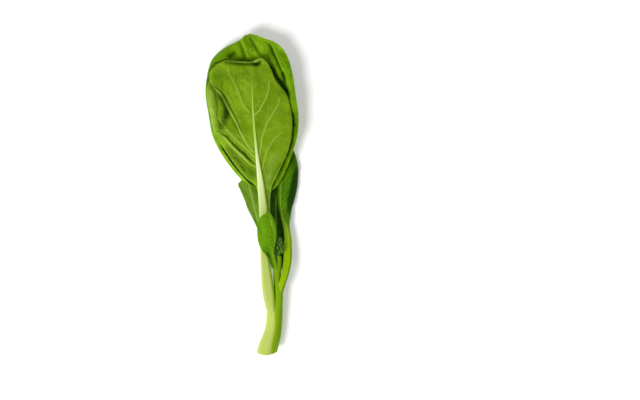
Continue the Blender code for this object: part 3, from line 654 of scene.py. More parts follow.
# The large front leaf shows its underside. Its top edge curls over towards the viewer.
frontLeaf = {
    **plainLeaf,
    "undersideUp": True,
    "seed": 11,
    "steps": (0.54, 2.2),
    "columns": (6, 64),
    "crest": 5,
    "tipRound": 1,
    "stations": [
        stalk(1.7, 25.6, 10.9, 4.1, 3),
        stalk(0.9, 31, 11.8, 4.5, 3.8),
        stalk(-0.6, 43, 12.3, 5.2, 4.4),
        stalk(-2.6, 61.6, 12.3, 4.4, 4.3),
        stalk(-4.2, 78, 12.5, 3.5, 3.9),
        ((-5.3, 111.8, 13.6), (3.3, 3.4), (3.3, 0, 0), (6, -0.7, -2)),
        ((-6.2, 126, 14.9), (3.2, 2.7), (3.2, 0, 0), (7.2, -0.9, -2.4)),
        ((-6.8, 134.4, 15.8), (2.9, 2.3), (4, 0, -0.4), (9, -0.6, -1.8)),
        ((-7.6, 142, 16.6), (2.6, 2), (12, -0.6, -2.2), (13.6, -0.6, -2)),
        ((-9.5, 157, 17.9), (1.7, 1.9), (22.5, -1.3, -3.8), (22.4, -0.7, -3)),
        ((-10.9, 169, 18.7), (1.2, 1.4), (29.1, -1.6, -4.4), (28.4, -0.8, -3.8)),
        ((-12.5, 185, 19.4), (0.9, 0.9), (35.6, -1.6, -4), (33, -1, -4.6)),
        ((-13.7, 201, 19.6), (0.6, 0.5), (37.7, -1.4, -3.2), (33.2, -1, -4.2)),
        ((-14.3, 216, 19.4), (0.45, 0.3), (40.5, -1.2, -2.8), (29.7, -0.8, -3.4)),
        ((-14.4, 228, 19), (0.35, 0.2), (38.3, -1.1, -2.8), (20.6, -0.5, -2)),
        ((-14.4, 238, 18.8), (0.3, 0.1), (36.5, -1, -2.8), (15.4, -0.3, -1)),
        ((-14.4, 241.4, 19.2), (0.3, 0.1), (34, -0.8, -2.4), (12.8, 0, 0.8)),
        ((-14.3, 243, 20.2), (0.3, 0.1), (31, -0.6, -1.8), (10.8, 0.5, 2.6)),
        ((-14.2, 244.2, 20.8), (0.3, 0.1), (27.5, -0.5, -1.4), (9.4, 0.7, 3.4)),
        ((-14.2, 245, 20.2), (0.3, 0.1), (24.5, -0.4, -1.2), (8.4, 0.8, 3.9)),
    ],
    "shifts": [  # from and to which row, then how far the points at each x move along the leaf
        (36, 26, [(-2.4, 1.4), (5.8, -1.2)]),
        (
            230, 243,
            [(-47.5, -2), (-42.2, 0.3), (-37.8, 1.1), (-31.7, 0.2), (-24.6, 0), (-17.6, -0.6),
             (-11.4, -0.3), (-7.9, 1.6), (-5.7, 2.4)],
        ),
    ],
    "veins": [
        [(-13.1, 197.1), (-7.8, 202.4), (-2.6, 212.2), (-0.1, 220.3), (0.3, 228.4)],
        [(-14.2, 219), (-16.4, 223.6), (-19.6, 227.4), (-22.4, 229.6)],
        [(-14.4, 225), (-15.6, 229.4), (-18.2, 232.4)],
        [(-14.4, 208), (-17.8, 214), (-20, 219), (-23, 223.4)],
        [(-8.9, 157), (-7.9, 163), (-5.5, 179.6), (-2.2, 189.4), (3.5, 199.1), (8.4, 207.2), (10, 213)],
        [(-5.6, 150.2), (-4.6, 155.2), (-1.3, 167.4), (4.3, 176.4), (12, 183)],
        [(-4.2, 183.5), (2.6, 185.2), (9.7, 191)],
        [(-16.8, 199.9), (-22.5, 206.4), (-26.6, 217), (-29.8, 225.2), (-34.7, 234.1), (-35.8, 240)],
        [(-13, 165), (-17.6, 169.8), (-22, 177.8), (-25.1, 183.5), (-29, 192.3), (-33, 198.9),
         (-36.1, 204.2), (-39.2, 210.3), (-42.7, 216.5), (-48.4, 221.8), (-51, 227)],
        [(-12, 160.5), (-18.5, 167.2), (-27.3, 175.1), (-34.3, 182.2), (-38.7, 187.4), (-43.6, 194),
         (-47.5, 198.4), (-50, 204)],
        [(-10.4, 151.4), (-16.7, 155.2), (-22.9, 161.5), (-28.6, 166.6), (-33, 171.4), (-38.3, 177.4),
         (-44, 182.2)],
    ],
    "veinStrengths": (1, 0.4, 0.3, 0.3, 1.1, 0.8, 0.45, 0.8, 1.25, 0.9, 1.1),
    "veinSizes": {  # widths, heights and tints at the start and the end
        "main": ((0.5, 0.42), (0.42, 0.2), (0.85, 0.6)),
        "branch": ((0.45, 0.42), (0.12, 0.04), (0.26, 0.08)),
        "twig": ((0.42, 0.4), (0.05, 0.02), (0.12, 0.04)),
    },
    "branches": (9.5, 12),  # spacing and reach
    "twigs": (4.6, 4.6),
    "quilting": 0.9,
    "pucker": 0.22,
    "growth": (26, 0.35),  # length and height of the uneven growth
    "folds": [  # depth, width, side, shade, line; the shade is painted, above 0 as painted shade, below 0 mostly as painted light
        (2.3, 3.2, -1, 0.2, [(-54, 236), (-50.6, 227.4), (-46, 220.4), (-42.7, 216.5), (-39.2, 210.3),
         (-36.1, 204.2), (-33, 198.9), (-29, 192.3), (-25.6, 184.5), (-22, 177.8)]),
        (0.8, 0.65, 0, 0.8, [(-50.4, 227), (-48, 223.3), (-41.6, 218.4), (-38.2, 213.2), (-35.2, 207.4),
         (-32, 201.2), (-28.2, 193.6), (-25.4, 187), (-22, 180)]),
        (0.9, 3.7, 0, 0.72, [(-46.4, 219), (-41, 212.4), (-38.4, 206), (-37.4, 199.6), (-39.4, 191),
         (-43.4, 183)]),
        (0.3, 2.2, 0, 0.5, [(-38.4, 203), (-37.2, 198.4), (-37.8, 193.8)]),
        (1.2, 2, 1, 0.2, [(-49.3, 222), (-47.5, 213), (-45.8, 205), (-46.6, 198), (-44, 189.4),
         (-42.2, 183)]),
        (-1.2, 3, 0, -0.5, [(-51, 226), (-50.6, 212), (-50, 200), (-47.8, 188), (-45, 180)]),
        (0, 2.4, 0, -0.25, [(-43.8, 211.4), (-42.4, 206.6), (-42, 201.6)]),
        (0.5, 0.7, 0, 0.45, [(-40.4, 228.6), (-41.4, 222.4), (-39.8, 218.8)]),
        (1.4, 2, 1, 0.2, [(-47.4, 185), (-42.2, 180.8), (-37, 178.6), (-32.6, 173.3), (-28.2, 168.9),
         (-22, 164.1), (-16.8, 158.4), (-11, 154)]),
        (0.5, 0.55, 0, 0.9, [(-42.2, 180.4), (-39.2, 179.8), (-37, 178), (-34.6, 174.4), (-32.6, 173.2),
         (-30.2, 169.8), (-28.2, 168.9), (-25, 165.4), (-22, 163.9), (-19.2, 160.2), (-16.8, 158.4),
         (-9, 152.4)]),
        (-0.5, 0.8, 0, -0.6, [(-42.4, 178.6), (-38.2, 177.6), (-33.2, 171.8), (-28.8, 167.2),
         (-22.8, 162.2), (-17.2, 155.6)]),
        (0.5, 5, 0, 0.4, [(-40, 170), (-33, 164), (-26, 157), (-19, 149), (-13, 141)]),
        (0.5, 0.6, 0, 0.6, [(-27, 167.4), (-22, 163.7), (-19.2, 160), (-16.8, 158.2), (-10, 152.8)]),
        (0, 3, 0, 0.3, [(-17, 154), (-13.4, 147), (-11.4, 140)]),
        (0.3, 0.9, 0, 0.3, [(-37, 168.6), (-33.4, 167.4), (-30.6, 163.4)]),
        (0.3, 0.9, 0, 0.3, [(-32, 161.6), (-28.4, 161), (-25.4, 156.4), (-22.4, 155.4)]),
        (0.3, 0.9, 0, 0.3, [(-26.4, 154), (-23, 152), (-20.6, 147.6)]),
        (1, 2.2, 0, 0.3, [(0.2, 136), (5, 145), (9, 151.5), (13, 158)]),
        (0, 5, 0, -0.25, [(-2, 139), (1, 148), (4, 158), (8, 168)]),
        (0.4, 6, 0, 0.2, [(-50, 237), (-40, 232), (-30, 231), (-10, 233)]),
        (3.6, 1.05, 0, 1, [(-42.5, 244), (-36, 243.9), (-29.9, 242.9), (-22.4, 242.3), (-15, 241.9),
         (-10.6, 242), (-5.5, 243)]),
        (2.2, 1.6, 0, 1, [(-14.6, 242.2), (-10.6, 242.6), (-6.2, 244.2)]),
        (0, 2.8, 0, -0.45, [(-2.2, 132), (-0.8, 138), (1, 146)]),
        (0, 0.9, 0, 0.5, [(-42.5, 246), (-36, 245.6), (-29.9, 244.6), (-22.4, 244), (-15, 243.6),
         (-10.6, 243.8), (-5.5, 245)]),
    ],
    "crinkles": [  # x, y, radius, heading, spacing, height
        (-17.5, 152, 9, 0.9, 3, 0.26),
        (-28, 160, 7, 0.8, 3.4, 0.2),
        (3.5, 152, 8, 2.3, 2.8, 0.2),
        (-36, 214, 9, 0.4, 4, 0.16),
    ],
    "rolls": ((1.2, 4), (0.4, 3)),
    "waves": (0.6, 21),
    "ruffles": (0.3, 9),
    "netCell": 3.2,
    "under": {
        **dullSide,
        "deep": tone(96, 132, 0), "fresh": tone(120, 156, 16), "veins": tone(172, 204, 84),
        "stalkFoot": tone(177, 191, 101), "stalkTip": tone(216, 227, 168), "stalkRight": tone(148, 184, 36),
        "edge": tone(164, 194, 84), "netTint": 0.08, "veinTint": 0.9, "glow": 0.06, "shine": 0.12,
    },
    "upper": {
        **glossySide,
        "deep": tone(84, 124, 4), "fresh": tone(108, 150, 8), "veins": tone(150, 182, 60),
        "stalkFoot": tone(178, 204, 92), "stalkTip": tone(186, 208, 110), "stalkRight": tone(140, 172, 44),
        "edge": tone(150, 186, 70), "netTint": 0.12, "veinTint": 0.7, "roughness": 0.4, "bump": 0.14,
        "glow": 0.08, "shine": 0.3, "wax": 0.05,
    },
}
dressed(leafPiece("frontLeaf", frontLeaf), "leaf_front")

# The large back leaf is cupped round the front one and shows its glossy upper side.
backLeaf = {
    **plainLeaf,
    "seed": 23,
    "steps": (0.57, 2.2),
    "columns": (6, 66),
    "tipRound": 2.4,
    "stations": [
        stalk(3.2, 27, 5.2, 3.2, 3),
        stalk(1.4, 34, 4.9, 3.4, 3.4),
        stalk(-1, 45, 4.9, 3.6, 3.6),
        stalk(-3, 62, 4.9, 3.4, 3.5),
        stalk(-4.6, 85, 4.7, 3, 3.3),
        stalk(-5.2, 112, 4.8, 2.7, 3),
        ((-5.1, 128, 5), (2.5, 2.8), (2.8, 0.1, 0.3), (3.4, 0.2, 0.4)),
        ((-4.9, 133, 4.8), (2.4, 2.6), (7, 0.8, 2.6), (9.4, 0.9, 2.8)),
        ((-4.4, 141, 4.2), (2.2, 2.4), (19.4, 2.2, 6), (14.8, 0.9, 5.2)),
        ((-3.5, 153, 3), (1.9, 2), (31, 1.4, 8), (19.6, -0.3, 8.6)),
        ((-2.6, 166, 2.2), (1.7, 1.6), (40.6, 0.8, 8.6), (23.6, -0.4, 11.4)),
        ((-1.9, 180, 1.7), (1.4, 1.3), (48, 0.8, 9), (27, -0.3, 13.8)),
        ((-1.5, 197, 1.6), (1.2, 1.1), (51.6, 1.2, 9.4), (27.4, 2.6, 15)),
        ((-2.3, 217, 3.8), (1, 0.9), (53.6, 1.4, 8), (25.6, 5.2, 13.8)),
        ((-4.2, 234, 8), (0.8, 0.7), (50.2, 1.4, 5.6), (25, 4.4, 9.4)),
        ((-7, 247, 11.6), (0.7, 0.6), (43, 0.8, 2.8), (24.2, 2.4, 4.8)),
        ((-10.8, 257, 13.8), (0.6, 0.5), (28.6, 0.4, 1.4), (22.2, 0.2, 2)),
        ((-13.6, 262.6, 14.6), (0.5, 0.4), (14.8, 0.1, 0.8), (17.2, 0, 0.8)),
        ((-15.6, 266.6, 15), (0.5, 0.3), (7, 0, 0.2), (8.2, 0, 0.1)),
        ((-16.3, 268.5, 15.2), (0.4, 0.2), (4.6, 0, 0), (5, 0, 0)),
    ],
    "veinStarts": (0.52, 0.60, 0.68, 0.76, 0.84, 0.91),
    "veinSizes": {
        "main": ((0.6, 0.5), (0.45, 0.25), (0.7, 0.4)),
        "branch": ((0.5, 0.45), (0.2, 0.08), (0.3, 0.15)),
        "twig": ((0.45, 0.42), (0.08, 0.04), (0.12, 0.06)),
    },
    "branches": (8.5, 13),
    "twigs": (4.4, 5),
    "quilting": 0.9,
    "pucker": 0.3,
    "growth": (24, 0.5),
    "folds": [
        (2, 2.6, -1, 0.25, [(0.4, 263), (1.8, 260.5), (4.4, 253.4), (7.9, 246.4), (12.3, 235.8),
         (15, 224)]),
        (-0.6, 1.3, 0, -0.4, [(2.6, 263), (4.6, 257.5), (7.4, 250), (11, 241), (14, 233)]),
        (0.9, 1.1, 0, 0.75, [(1.6, 261), (3.2, 256), (5.4, 249), (9, 240.6), (12.8, 232.6), (15.2, 226)]),
        (0, 2.6, 0, -0.4, [(-2, 265), (8, 260.6), (16, 252), (20, 242)]),
        (-0.8, 1.1, 0, -0.5, [(-24, 264), (-22.4, 261.4), (-20.6, 256.5), (-18.5, 251.6), (-16.4, 246)]),
        (1.4, 1.5, 0, 0.35, [(-26.4, 264), (-24.8, 261), (-23, 256), (-21.6, 250.4), (-21, 245)]),
        (2, 2.4, 0, 0.7, [(-36.4, 248.2), (-32, 250.8), (-28.6, 253.6)]),
        (0.6, 1, 0, 0.65, [(-48, 243), (-42, 245.4), (-36.6, 247.6)]),
        (0.4, 1.6, 0, 0.65, [(-45.6, 246), (-50.2, 240), (-53.2, 232), (-54.6, 222)]),
        (0, 6, 0, -0.3, [(-14.6, 262), (-8, 257), (-2, 258)]),
        (0, 6, 0, 0.22, [(-54, 236), (-46, 246), (-36, 255), (-26, 260)]),
        (0, 5, 0, 0.3, [(12, 260), (21, 240), (24, 215), (23, 190), (17, 168)]),
        (0.3, 1.4, 0, 0.95, [(16.4, 197), (19.8, 191.4), (23.6, 187.6)]),
        (0, 3.2, 0, -0.5, [(-49, 184), (-44.6, 172), (-38, 162), (-31, 152), (-24, 143), (-18, 137)]),
        (1.86, 9, 0, 0, [(-30, 160), (-24, 172), (-22, 184)]),
        (4.6, 4.2, 1, 1, [(-42.8, 170.6), (-38.8, 164.7), (-32.9, 156), (-26.9, 148.3), (-20.2, 140.8),
         (-12.4, 133.8), (-3, 126)]),
        (1.4, 1.6, 0, 0.5, [(-17.2, 267.6), (-14.4, 262.6), (-11.4, 257.4), (-6.6, 249.4), (-3, 243)]),
        (-0.6, 1.4, 0, -0.5, [(-14, 256), (-9.6, 249.6), (-6, 244.4)]),
        (1.2, 2, 0, 0.95, [(-3, 244.2), (1.8, 239.4), (8.8, 228.8), (15, 220), (18.6, 212)]),
        (0.7, 1.9, 0, 0.9, [(10.6, 237), (12.8, 231), (14.4, 225), (16.2, 217)]),
        (0, 3.4, 0, -0.4, [(-9, 252), (-1, 248.6), (5.4, 242)]),
    ],
    "crinkles": [(-6, 252, 9, 0.2, 3.6, 0.2), (10, 250, 8, 0.3, 3.4, 0.16)],
    "rolls": ((3.3, 5.6), (0, 1)),
    "waves": (0.9, 26),
    "ruffles": (0.4, 10),
    "netCell": 3.4,
    "under": {
        **dullSide,
        "deep": tone(104, 140, 30), "fresh": tone(124, 158, 46), "veins": tone(170, 196, 100),
        "stalkFoot": tone(184, 204, 96), "stalkTip": tone(204, 220, 150), "stalkRight": tone(150, 184, 60),
        "edge": tone(160, 192, 84), "netTint": 0.14, "bump": 0.12, "shine": 0.25,
    },
    "upper": {
        **glossySide,
        "deep": tone(86, 130, 0), "fresh": tone(116, 160, 0), "veins": tone(146, 186, 20),
        "stalkFoot": tone(170, 198, 80), "stalkTip": tone(120, 160, 10), "stalkRight": tone(110, 150, 8),
        "edge": tone(144, 184, 24), "netTint": 0.08, "veinTint": 0.5, "roughness": 0.4, "bump": 0.14,
        "glow": 0.06, "shine": 0.16,
    },
}
dressed(leafPiece("backLeaf", backLeaf), "leaf_back")

# The muted leaf at the left runs under the back leaf's margin.
leftLeaf = {
    **plainLeaf,
    "seed": 37,
    "steps": (0.6, 1.6),
    "columns": (6, 18),
    "stations": [
        stalk(5.6, 66.5, 9.6, 1.5, 1.4),
        stalk(3, 71, 9.4, 1.6, 1.5),
        stalk(-0.6, 77.5, 9, 1.6, 1.5),
        ((-4.2, 86, 8.2), (1.5, 1.4), (1.6, 0, 0.2), (1.7, 0, 0)),
        ((-7.6, 97, 7.3), (1.3, 1.2), (2.4, 0.2, 0.6), (3, 0.1, 0.3)),
        ((-10.4, 105.6, 6.7), (1.1, 1.1), (3.5, 0.3, 1), (4.6, 0.1, 0.4)),
        ((-13.2, 115.7, 6.2), (1, 1), (5.9, 0.3, 1.2), (6.2, 0.1, 0.4)),
        ((-15.2, 123.5, 5.4), (0.9, 0.9), (6.6, 0.3, 1.2), (6.9, -0.2, -0.6)),
        ((-17.4, 132, 4.2), (0.7, 0.8), (8.1, 0.2, 1), (7.6, -0.9, -3.2)),
        ((-18.6, 137.2, 3.5), (0.6, 0.6), (8.9, 0.1, 0.7), (7.2, -0.8, -2.6)),
        ((-19.3, 140.6, 2.9), (0.5, 0.5), (5.4, 0, 0.3), (5.8, -0.4, -1.4)),
        ((-20.4, 145, 2.5), (0.4, 0.4), (2.8, 0, 0), (3.2, 0, 0)),
        ((-21.2, 148, 2.3), (0.4, 0.3), (0.9, 0, 0), (0.9, 0, 0)),
    ],
    "veinStarts": (0.42, 0.56, 0.70, 0.82),
    "veinSizes": {
        "main": ((0.5, 0.35), (0.25, 0.12), (0.8, 0.5)),
        "branch": ((0.35, 0.3), (0.12, 0.06), (0.4, 0.25)),
        "twig": ((0.3, 0.28), (0.05, 0.03), (0.2, 0.12)),
    },
    "branches": (4.5, 5),
    "twigs": (2.6, 2.4),
    "quilting": 0.35,
    "pucker": 0.16,
    "growth": (14, 0.2),
    "waves": (0.3, 14),
    "ruffles": (0.15, 6),
    "netCell": 2.4,
    "under": {
        **dullSide,
        "deep": tone(112, 146, 48), "fresh": tone(132, 164, 66), "veins": tone(180, 200, 112),
        "stalkFoot": tone(172, 198, 84), "stalkTip": tone(188, 208, 120), "stalkRight": tone(150, 180, 66),
        "edge": tone(170, 196, 104),
    },
    "upper": {
        **glossySide,
        "deep": tone(98, 138, 28), "fresh": tone(122, 160, 44), "veins": tone(144, 178, 70),
        "stalkFoot": tone(150, 182, 60), "stalkTip": tone(140, 174, 70), "stalkRight": tone(112, 148, 40),
        "edge": tone(150, 180, 90), "netTint": 0.14, "roughness": 0.46, "glow": 0.06, "shine": 0.14,
    },
}
dressed(leafPiece("leftLeaf", leftLeaf), "leaf_left")

# The small leaf in front of the stalk is bright and glossy, with close slanting veins.
smallLeaf = {
    **plainLeaf,
    "seed": 41,
    "steps": (0.4, 1.2),
    "columns": (6, 30),
    "stations": [
        ((6.4, 63, 14), (1.2, 1), (3.8, -0.1, -1), (1.2, 0, 0)),
        ((5.4, 68, 15.2), (1.3, 1.1), (4.6, 0.1, 0.4), (1.3, 0, 0)),
        ((3.6, 73.5, 16.8), (1.2, 1), (5.2, 0.3, 1.1), (1.3, 0, 0)),
        ((2.7, 78, 17.8), (1, 0.8), (8, 0.4, 0.9), (1.9, 0.1, -0.3)),
        ((2.8, 85.4, 18.7), (0.8, 0.6), (11.8, 0.6, 0.1), (3, 0, -0.6)),
        ((3.2, 95, 19.3), (0.5, 0.3), (13.4, 0.5, -0.9), (3.5, 0, -0.8)),
        ((2.2, 103.4, 19.4), (0.4, 0.1), (11.8, 0.4, -1), (3, 0, -0.6)),
        ((1.6, 107.2, 19.4), (0.3, 0.1), (9.8, 0.3, -0.8), (2.4, 0, -0.4)),
        ((0.8, 109.8, 19.3), (0.3, 0.1), (5.8, 0.2, -0.4), (1.8, 0, -0.3)),
        ((-0.2, 112.4, 19.2), (0.4, 0.2), (1.6, 0, 0), (1, 0, 0)),
    ],
    "veinStarts": (0.34, 0.41, 0.48, 0.55, 0.62, 0.69, 0.76, 0.84),
    "veinSizes": {
        "main": ((0.36, 0.3), (0.26, 0.0), (0.7, 0.0)),
        "branch": ((0.34, 0.3), (0.08, 0.03), (0.15, 0.0)),
        "twig": ((0.26, 0.24), (0.05, 0.03), (0.15, 0.1)),
    },
    "branches": (3.5, 4),
    "twigs": (2.2, 2),
    "quilting": 0.12,
    "pucker": 0.12,
    "growth": (12, 0.2),
    "folds": [
        (-0.7, 3, 0, -0.1, [(-2.6, 110), (-3.4, 102), (-2.4, 94), (-1, 86)]),
        (0.4, 1, 0, 0.3, [(-8.2, 100.4), (-7.6, 96), (-5.6, 93)]),
        (0.3, 1.6, 0, 0.3, [(-9.4, 106), (-9.6, 98)]),
        (0.7, 1, 0, 0.35, [(2.6, 104), (3.6, 96), (3.8, 88), (3.4, 80)]),
        (0.3, 2.4, 0, 0.3, [(-7, 80.4), (-3, 78.6), (1, 76)]),
        # painted shade on the wing, where it fills the gap beside the stalk
        (0.2, 1.9, 0, 0.85, [(-2, 77.4), (0, 73), (1.8, 68), (3.4, 61)]),
    ],
    "crinkles": [(0, 82, 7, 1.2, 1.7, 0.12)],
    "waves": (0.3, 12),
    "ruffles": (0.15, 5),
    "netCell": 1.8,
    "under": {
        **dullSide,
        "deep": tone(104, 142, 36), "fresh": tone(126, 162, 54), "veins": tone(176, 200, 104),
        "stalkFoot": tone(160, 190, 66), "stalkTip": tone(176, 200, 100), "stalkRight": tone(140, 172, 50),
        "edge": tone(160, 190, 90),
    },
    "upper": {
        **glossySide,
        "deep": tone(80, 128, 0), "fresh": tone(100, 148, 0), "veins": tone(140, 182, 50),
        "stalkFoot": tone(104, 148, 2), "stalkTip": tone(96, 144, 0), "stalkRight": tone(70, 116, 0),
        "edge": tone(128, 170, 16), "netTint": 0.06, "bump": 0.1, "glow": 0.05, "shine": 0.14,
    },
}
dressed(leafPiece("smallLeaf", smallLeaf), "leaf_small")

# The quilted leaf at the right has a yellow-green stalk; its blade greens are painted dark as painted shade.
rightLeaf = {
    **plainLeaf,
    "seed": 53,
    "steps": (0.5, 1.6),
    "columns": (7, 24),
    "stations": [
        ((8.6, 39, 13), (2.4, 1.8), (2.4, -0.5, -2.2), (2.4, -0.5, -2.2)),
        ((9.9, 44, 14.2), (2.8, 2.2), (2.8, -0.5, -2), (2.8, -0.5, -2)),
        ((11, 48, 14.8), (3, 2.5), (3, -0.3, -1.2), (3, -0.3, -1.2)),
        ((13.4, 55, 14.3), (3.2, 2.7), (3.2, -0.1, -0.4), (3.2, -0.1, -0.4)),
        stalk(15.8, 66, 11.8, 3.6, 2.8),
        stalk(16.6, 83, 9, 3.4, 2.6),
        stalk(16.2, 94, 7.4, 2.8, 2.4),
        ((14.6, 101, 6.6), (2.2, 2), (2.4, 0, 0.2), (3.4, 0.2, 0.3)),
        ((12.2, 108, 5.8), (1.4, 1.4), (2.2, 0.1, 0.4), (6.8, 0.8, 0.4)),
        ((10.6, 116, 5.2), (0.9, 0.9), (2, 0.2, 0.5), (10.2, 1.4, 0.2)),
        ((9.9, 124, 4.6), (0.7, 0.6), (2.2, 0.2, 0.5), (13.2, 1.8, 0)),
        ((10, 133, 4), (0.6, 0.5), (2.2, 0.2, 0.5), (15.2, 2, -0.2)),
        ((12.2, 146, 3.5), (0.5, 0.4), (3, 0.2, 0.5), (14, 1.8, -0.2)),
        ((15.6, 157, 3.4), (0.5, 0.4), (3, 0.1, 0.4), (9.2, 1.2, 0)),
        ((19.2, 164, 3.5), (0.5, 0.4), (2.6, 0, 0), (3.6, 0, 0.3)),
        ((20, 168, 3.6), (0.4, 0.3), (0.9, 0, 0), (0.9, 0, 0)),
    ],
    "veinStarts": (0.47, 0.515, 0.56, 0.605, 0.65, 0.695, 0.74, 0.785, 0.83, 0.885),
    "veinSizes": {
        "main": ((0.5, 0.35), (0.35, 0.2), (0.9, 0.1)),
        "branch": ((0.34, 0.3), (0.15, 0.08), (0.4, 0.2)),
        "twig": ((0.28, 0.26), (0.06, 0.04), (0.2, 0.1)),
    },
    "branches": (3.8, 4.5),
    "twigs": (2.2, 2.2),
    "quilting": 0.8,
    "pucker": 0.3,
    "growth": (14, 0.25),
    # these folds' shade paints the right half of the blade near-black: painted shade
    "folds": [
        (-1.5, 3, 0, -0.1, [(11.6, 110), (13, 118.8), (14.5, 127.9), (17, 138.7), (20.7, 153)]),
        (1, 12, -1, 1, [(13, 108), (15, 118.8), (16.6, 127.9), (19, 138.7), (22.4, 153)]),
        (0, 4.2, 0, 0.7, [(17.6, 116), (20.6, 126), (22.6, 138), (24, 150)]),
        (0, 3.6, 0, 0.6, [(18, 164), (22, 155), (25.6, 145), (26, 136)]),
    ],
    "waves": (0.5, 15),
    "ruffles": (0.2, 6),
    "netCell": 2.4,
    "under": {
        **dullSide,
        "deep": tone(74, 110, 30), "fresh": tone(96, 134, 44), "veins": tone(150, 180, 90),
        "stalkFoot": tone(150, 184, 40), "stalkTip": tone(150, 184, 70), "stalkRight": tone(120, 154, 20),
        "edge": tone(140, 170, 80),
    },
    # darker greens than the leaf's own, as painted shade
    "upper": {
        **glossySide,
        "deep": tone(52, 98, 0), "fresh": tone(82, 132, 4), "veins": tone(120, 164, 36),
        "stalkFoot": tone(146, 181, 12), "stalkTip": tone(140, 176, 40), "stalkRight": tone(84, 112, 0),
        "edge": tone(110, 160, 50), "bump": 0.14,
    },
}
dressed(leafPiece("rightLeaf", rightLeaf), "leaf_right")

# The narrow young leaf between the stalks: its upper side is painted near-black green as painted shade, and
# its outline is spread into the gaps between the stalks to carry that painted shade there.
innerLeaf = {
    **plainLeaf,
    "seed": 67,
    "steps": (0.5, 1.4),
    "columns": (5, 12),
    "tipRound": 1.6,
    "stations": [
        ((6.8, 57, 8.2), (1.1, 1.3), (1.1, 0, 0), (2, 0, 0)),
        ((6.6, 64, 7.1), (1.2, 1.4), (1.2, 0, 0), (5.4, 0, -0.4)),
        ((6.3, 74, 5.6), (1.2, 1.3), (1.5, 0, 0.1), (7.4, 0, -0.8)),
        ((5.9, 86, 4.8), (1.1, 1.2), (2.8, 0.3, 0.8), (8, -0.1, -1.2)),
        ((5.8, 98, 4.3), (0.9, 1), (4.4, 0.6, 1.8), (7.8, -0.3, -1.8)),
        ((5.8, 109, 4), (0.7, 0.8), (5.2, 0.7, 2), (5.6, -0.3, -1.8)),
        ((5.9, 119, 3.3), (0.6, 0.6), (5.2, 0.6, 1.8), (3.8, -0.3, -1.2)),
        ((5.6, 127, 2.7), (0.5, 0.4), (5, 0.3, 1), (3.6, -0.2, -0.9)),
        ((5, 133, 2.2), (0.4, 0.3), (3.4, 0.1, 0.4), (5, -0.1, -0.8)),
        ((4.6, 137, 1.8), (0.4, 0.2), (1.2, 0, 0), (4, 0, -0.4)),
    ],
    "veinStarts": (0.40, 0.54, 0.68, 0.82),
    "veinSizes": {
        "main": ((0.34, 0.26), (0.15, 0.08), (0.7, 0.4)),
        "branch": ((0.28, 0.24), (0.08, 0.04), (0.3, 0.2)),
        "twig": ((0.24, 0.22), (0.04, 0.02), (0.1, 0.05)),
    },
    "branches": (3, 2.6),
    "twigs": (1.8, 1.4),
    "quilting": 0.2,
    "pucker": 0.12,
    "growth": (10, 0.1),
    "waves": (0.2, 9),
    "ruffles": (0.1, 5),
    "netCell": 1.8,
    "under": {
        **dullSide,
        "deep": tone(84, 120, 34), "fresh": tone(104, 140, 48), "veins": tone(160, 186, 100),
        "stalkFoot": tone(160, 190, 70), "stalkTip": tone(160, 190, 90), "stalkRight": tone(130, 160, 40),
        "edge": tone(140, 170, 80),
    },
    # painted shade: near-black greens on the side seen from above
    "upper": {
        **glossySide,
        "deep": tone(20, 62, 0), "fresh": tone(44, 92, 0), "veins": tone(100, 146, 50),
        "stalkFoot": tone(160, 192, 80), "stalkTip": tone(130, 168, 60), "stalkRight": tone(120, 154, 40),
        "edge": tone(120, 160, 70),
    },
}
dressed(leafPiece("innerLeaf", innerLeaf), "leaf_inner")


# The stem, pale along its left where the front stalk's base runs down it, green along its right

stem = {
    "stations": [  # centre x, y, z, half width, half height
        (-2.8, -16.0, 8.4, 9.7, 8.9),
        (-1.4, -8.8, 7.9, 9.0, 8.3),
        (1.4, 0.0, 7.3, 8.3, 7.8),
        (3.2, 6.2, 7.0, 7.8, 7.2),
        (4.4, 13.5, 7.1, 7.3, 6.6),
        (5.1, 24.0, 7.9, 7.1, 6.1),
        (6.2, 31.0, 8.8, 6.2, 5.3),
        (7.9, 38.0, 9.6, 4.6, 4.4),
        (8.1, 45.0, 10.2, 4.1, 3.9),
        (7.2, 55.0, 10.6, 3.5, 3.3),
        (7.5, 66.0, 11.0, 3.4, 2.9),
        (8.2, 73.0, 11.3, 2.7, 2.3),
    ],
    "sides": 160,
    "rows": 150,
    "ridges": (6, 0.022, math.radians(81)),  # count, height, turn
    "cut": ((-0.9, -12.6, 15.6), (0, -0.9, -0.43)),  # a point on the cut and its normal
    "capRings": 26,
    "dish": 0.35,
    "domeRows": 8,
    "domeHeight": 2.0,
    "girth": 45.0,
    "groove": [  # y, and where the groove lies there, from the middle, in half widths to the right
        (-14.0, 0.42), (-6.8, 0.35), (1.3, 0.19), (15.0, 0.05), (30.0, -0.13), (40.0, -0.2),
    ],
    "grooveDepth": 0.2,
    "grooveWidth": math.radians(9),
    "grooveTo": (36, 10),  # how far up the groove runs, fade length
    "paleTo": (math.radians(262), 30, 4),  # how far round and up the pale side goes, fade length
    "paintedShadeStrip": (0.72, 0.17, -12, 16),  # a strip of painted shade down the side turned from the light: angle, width in radians, start, fade length
    "darkTop": (0.4, 36, 16),  # the darker top: how dark, start, fade length
    "pale": tone(180, 193, 97),
    "green": tone(136, 172, 4),
    "dark": tone(96, 138, 0),
    "pith": tone(216, 226, 160),
    "ring": tone(160, 188, 60),
    "roughness": (0.42, 0.54),
    "bump": 0.1,
    "cutGrain": (1800.0, 260.0, 0.12),  # grains and waves per metre, height of the waves
    "ringEdges": ((0.66, 0.8), (0.98, 0.88)),  # in half widths: where the ring comes in and goes out
    "rindFrom": 0.93,
    "cutBump": 0.12,
}


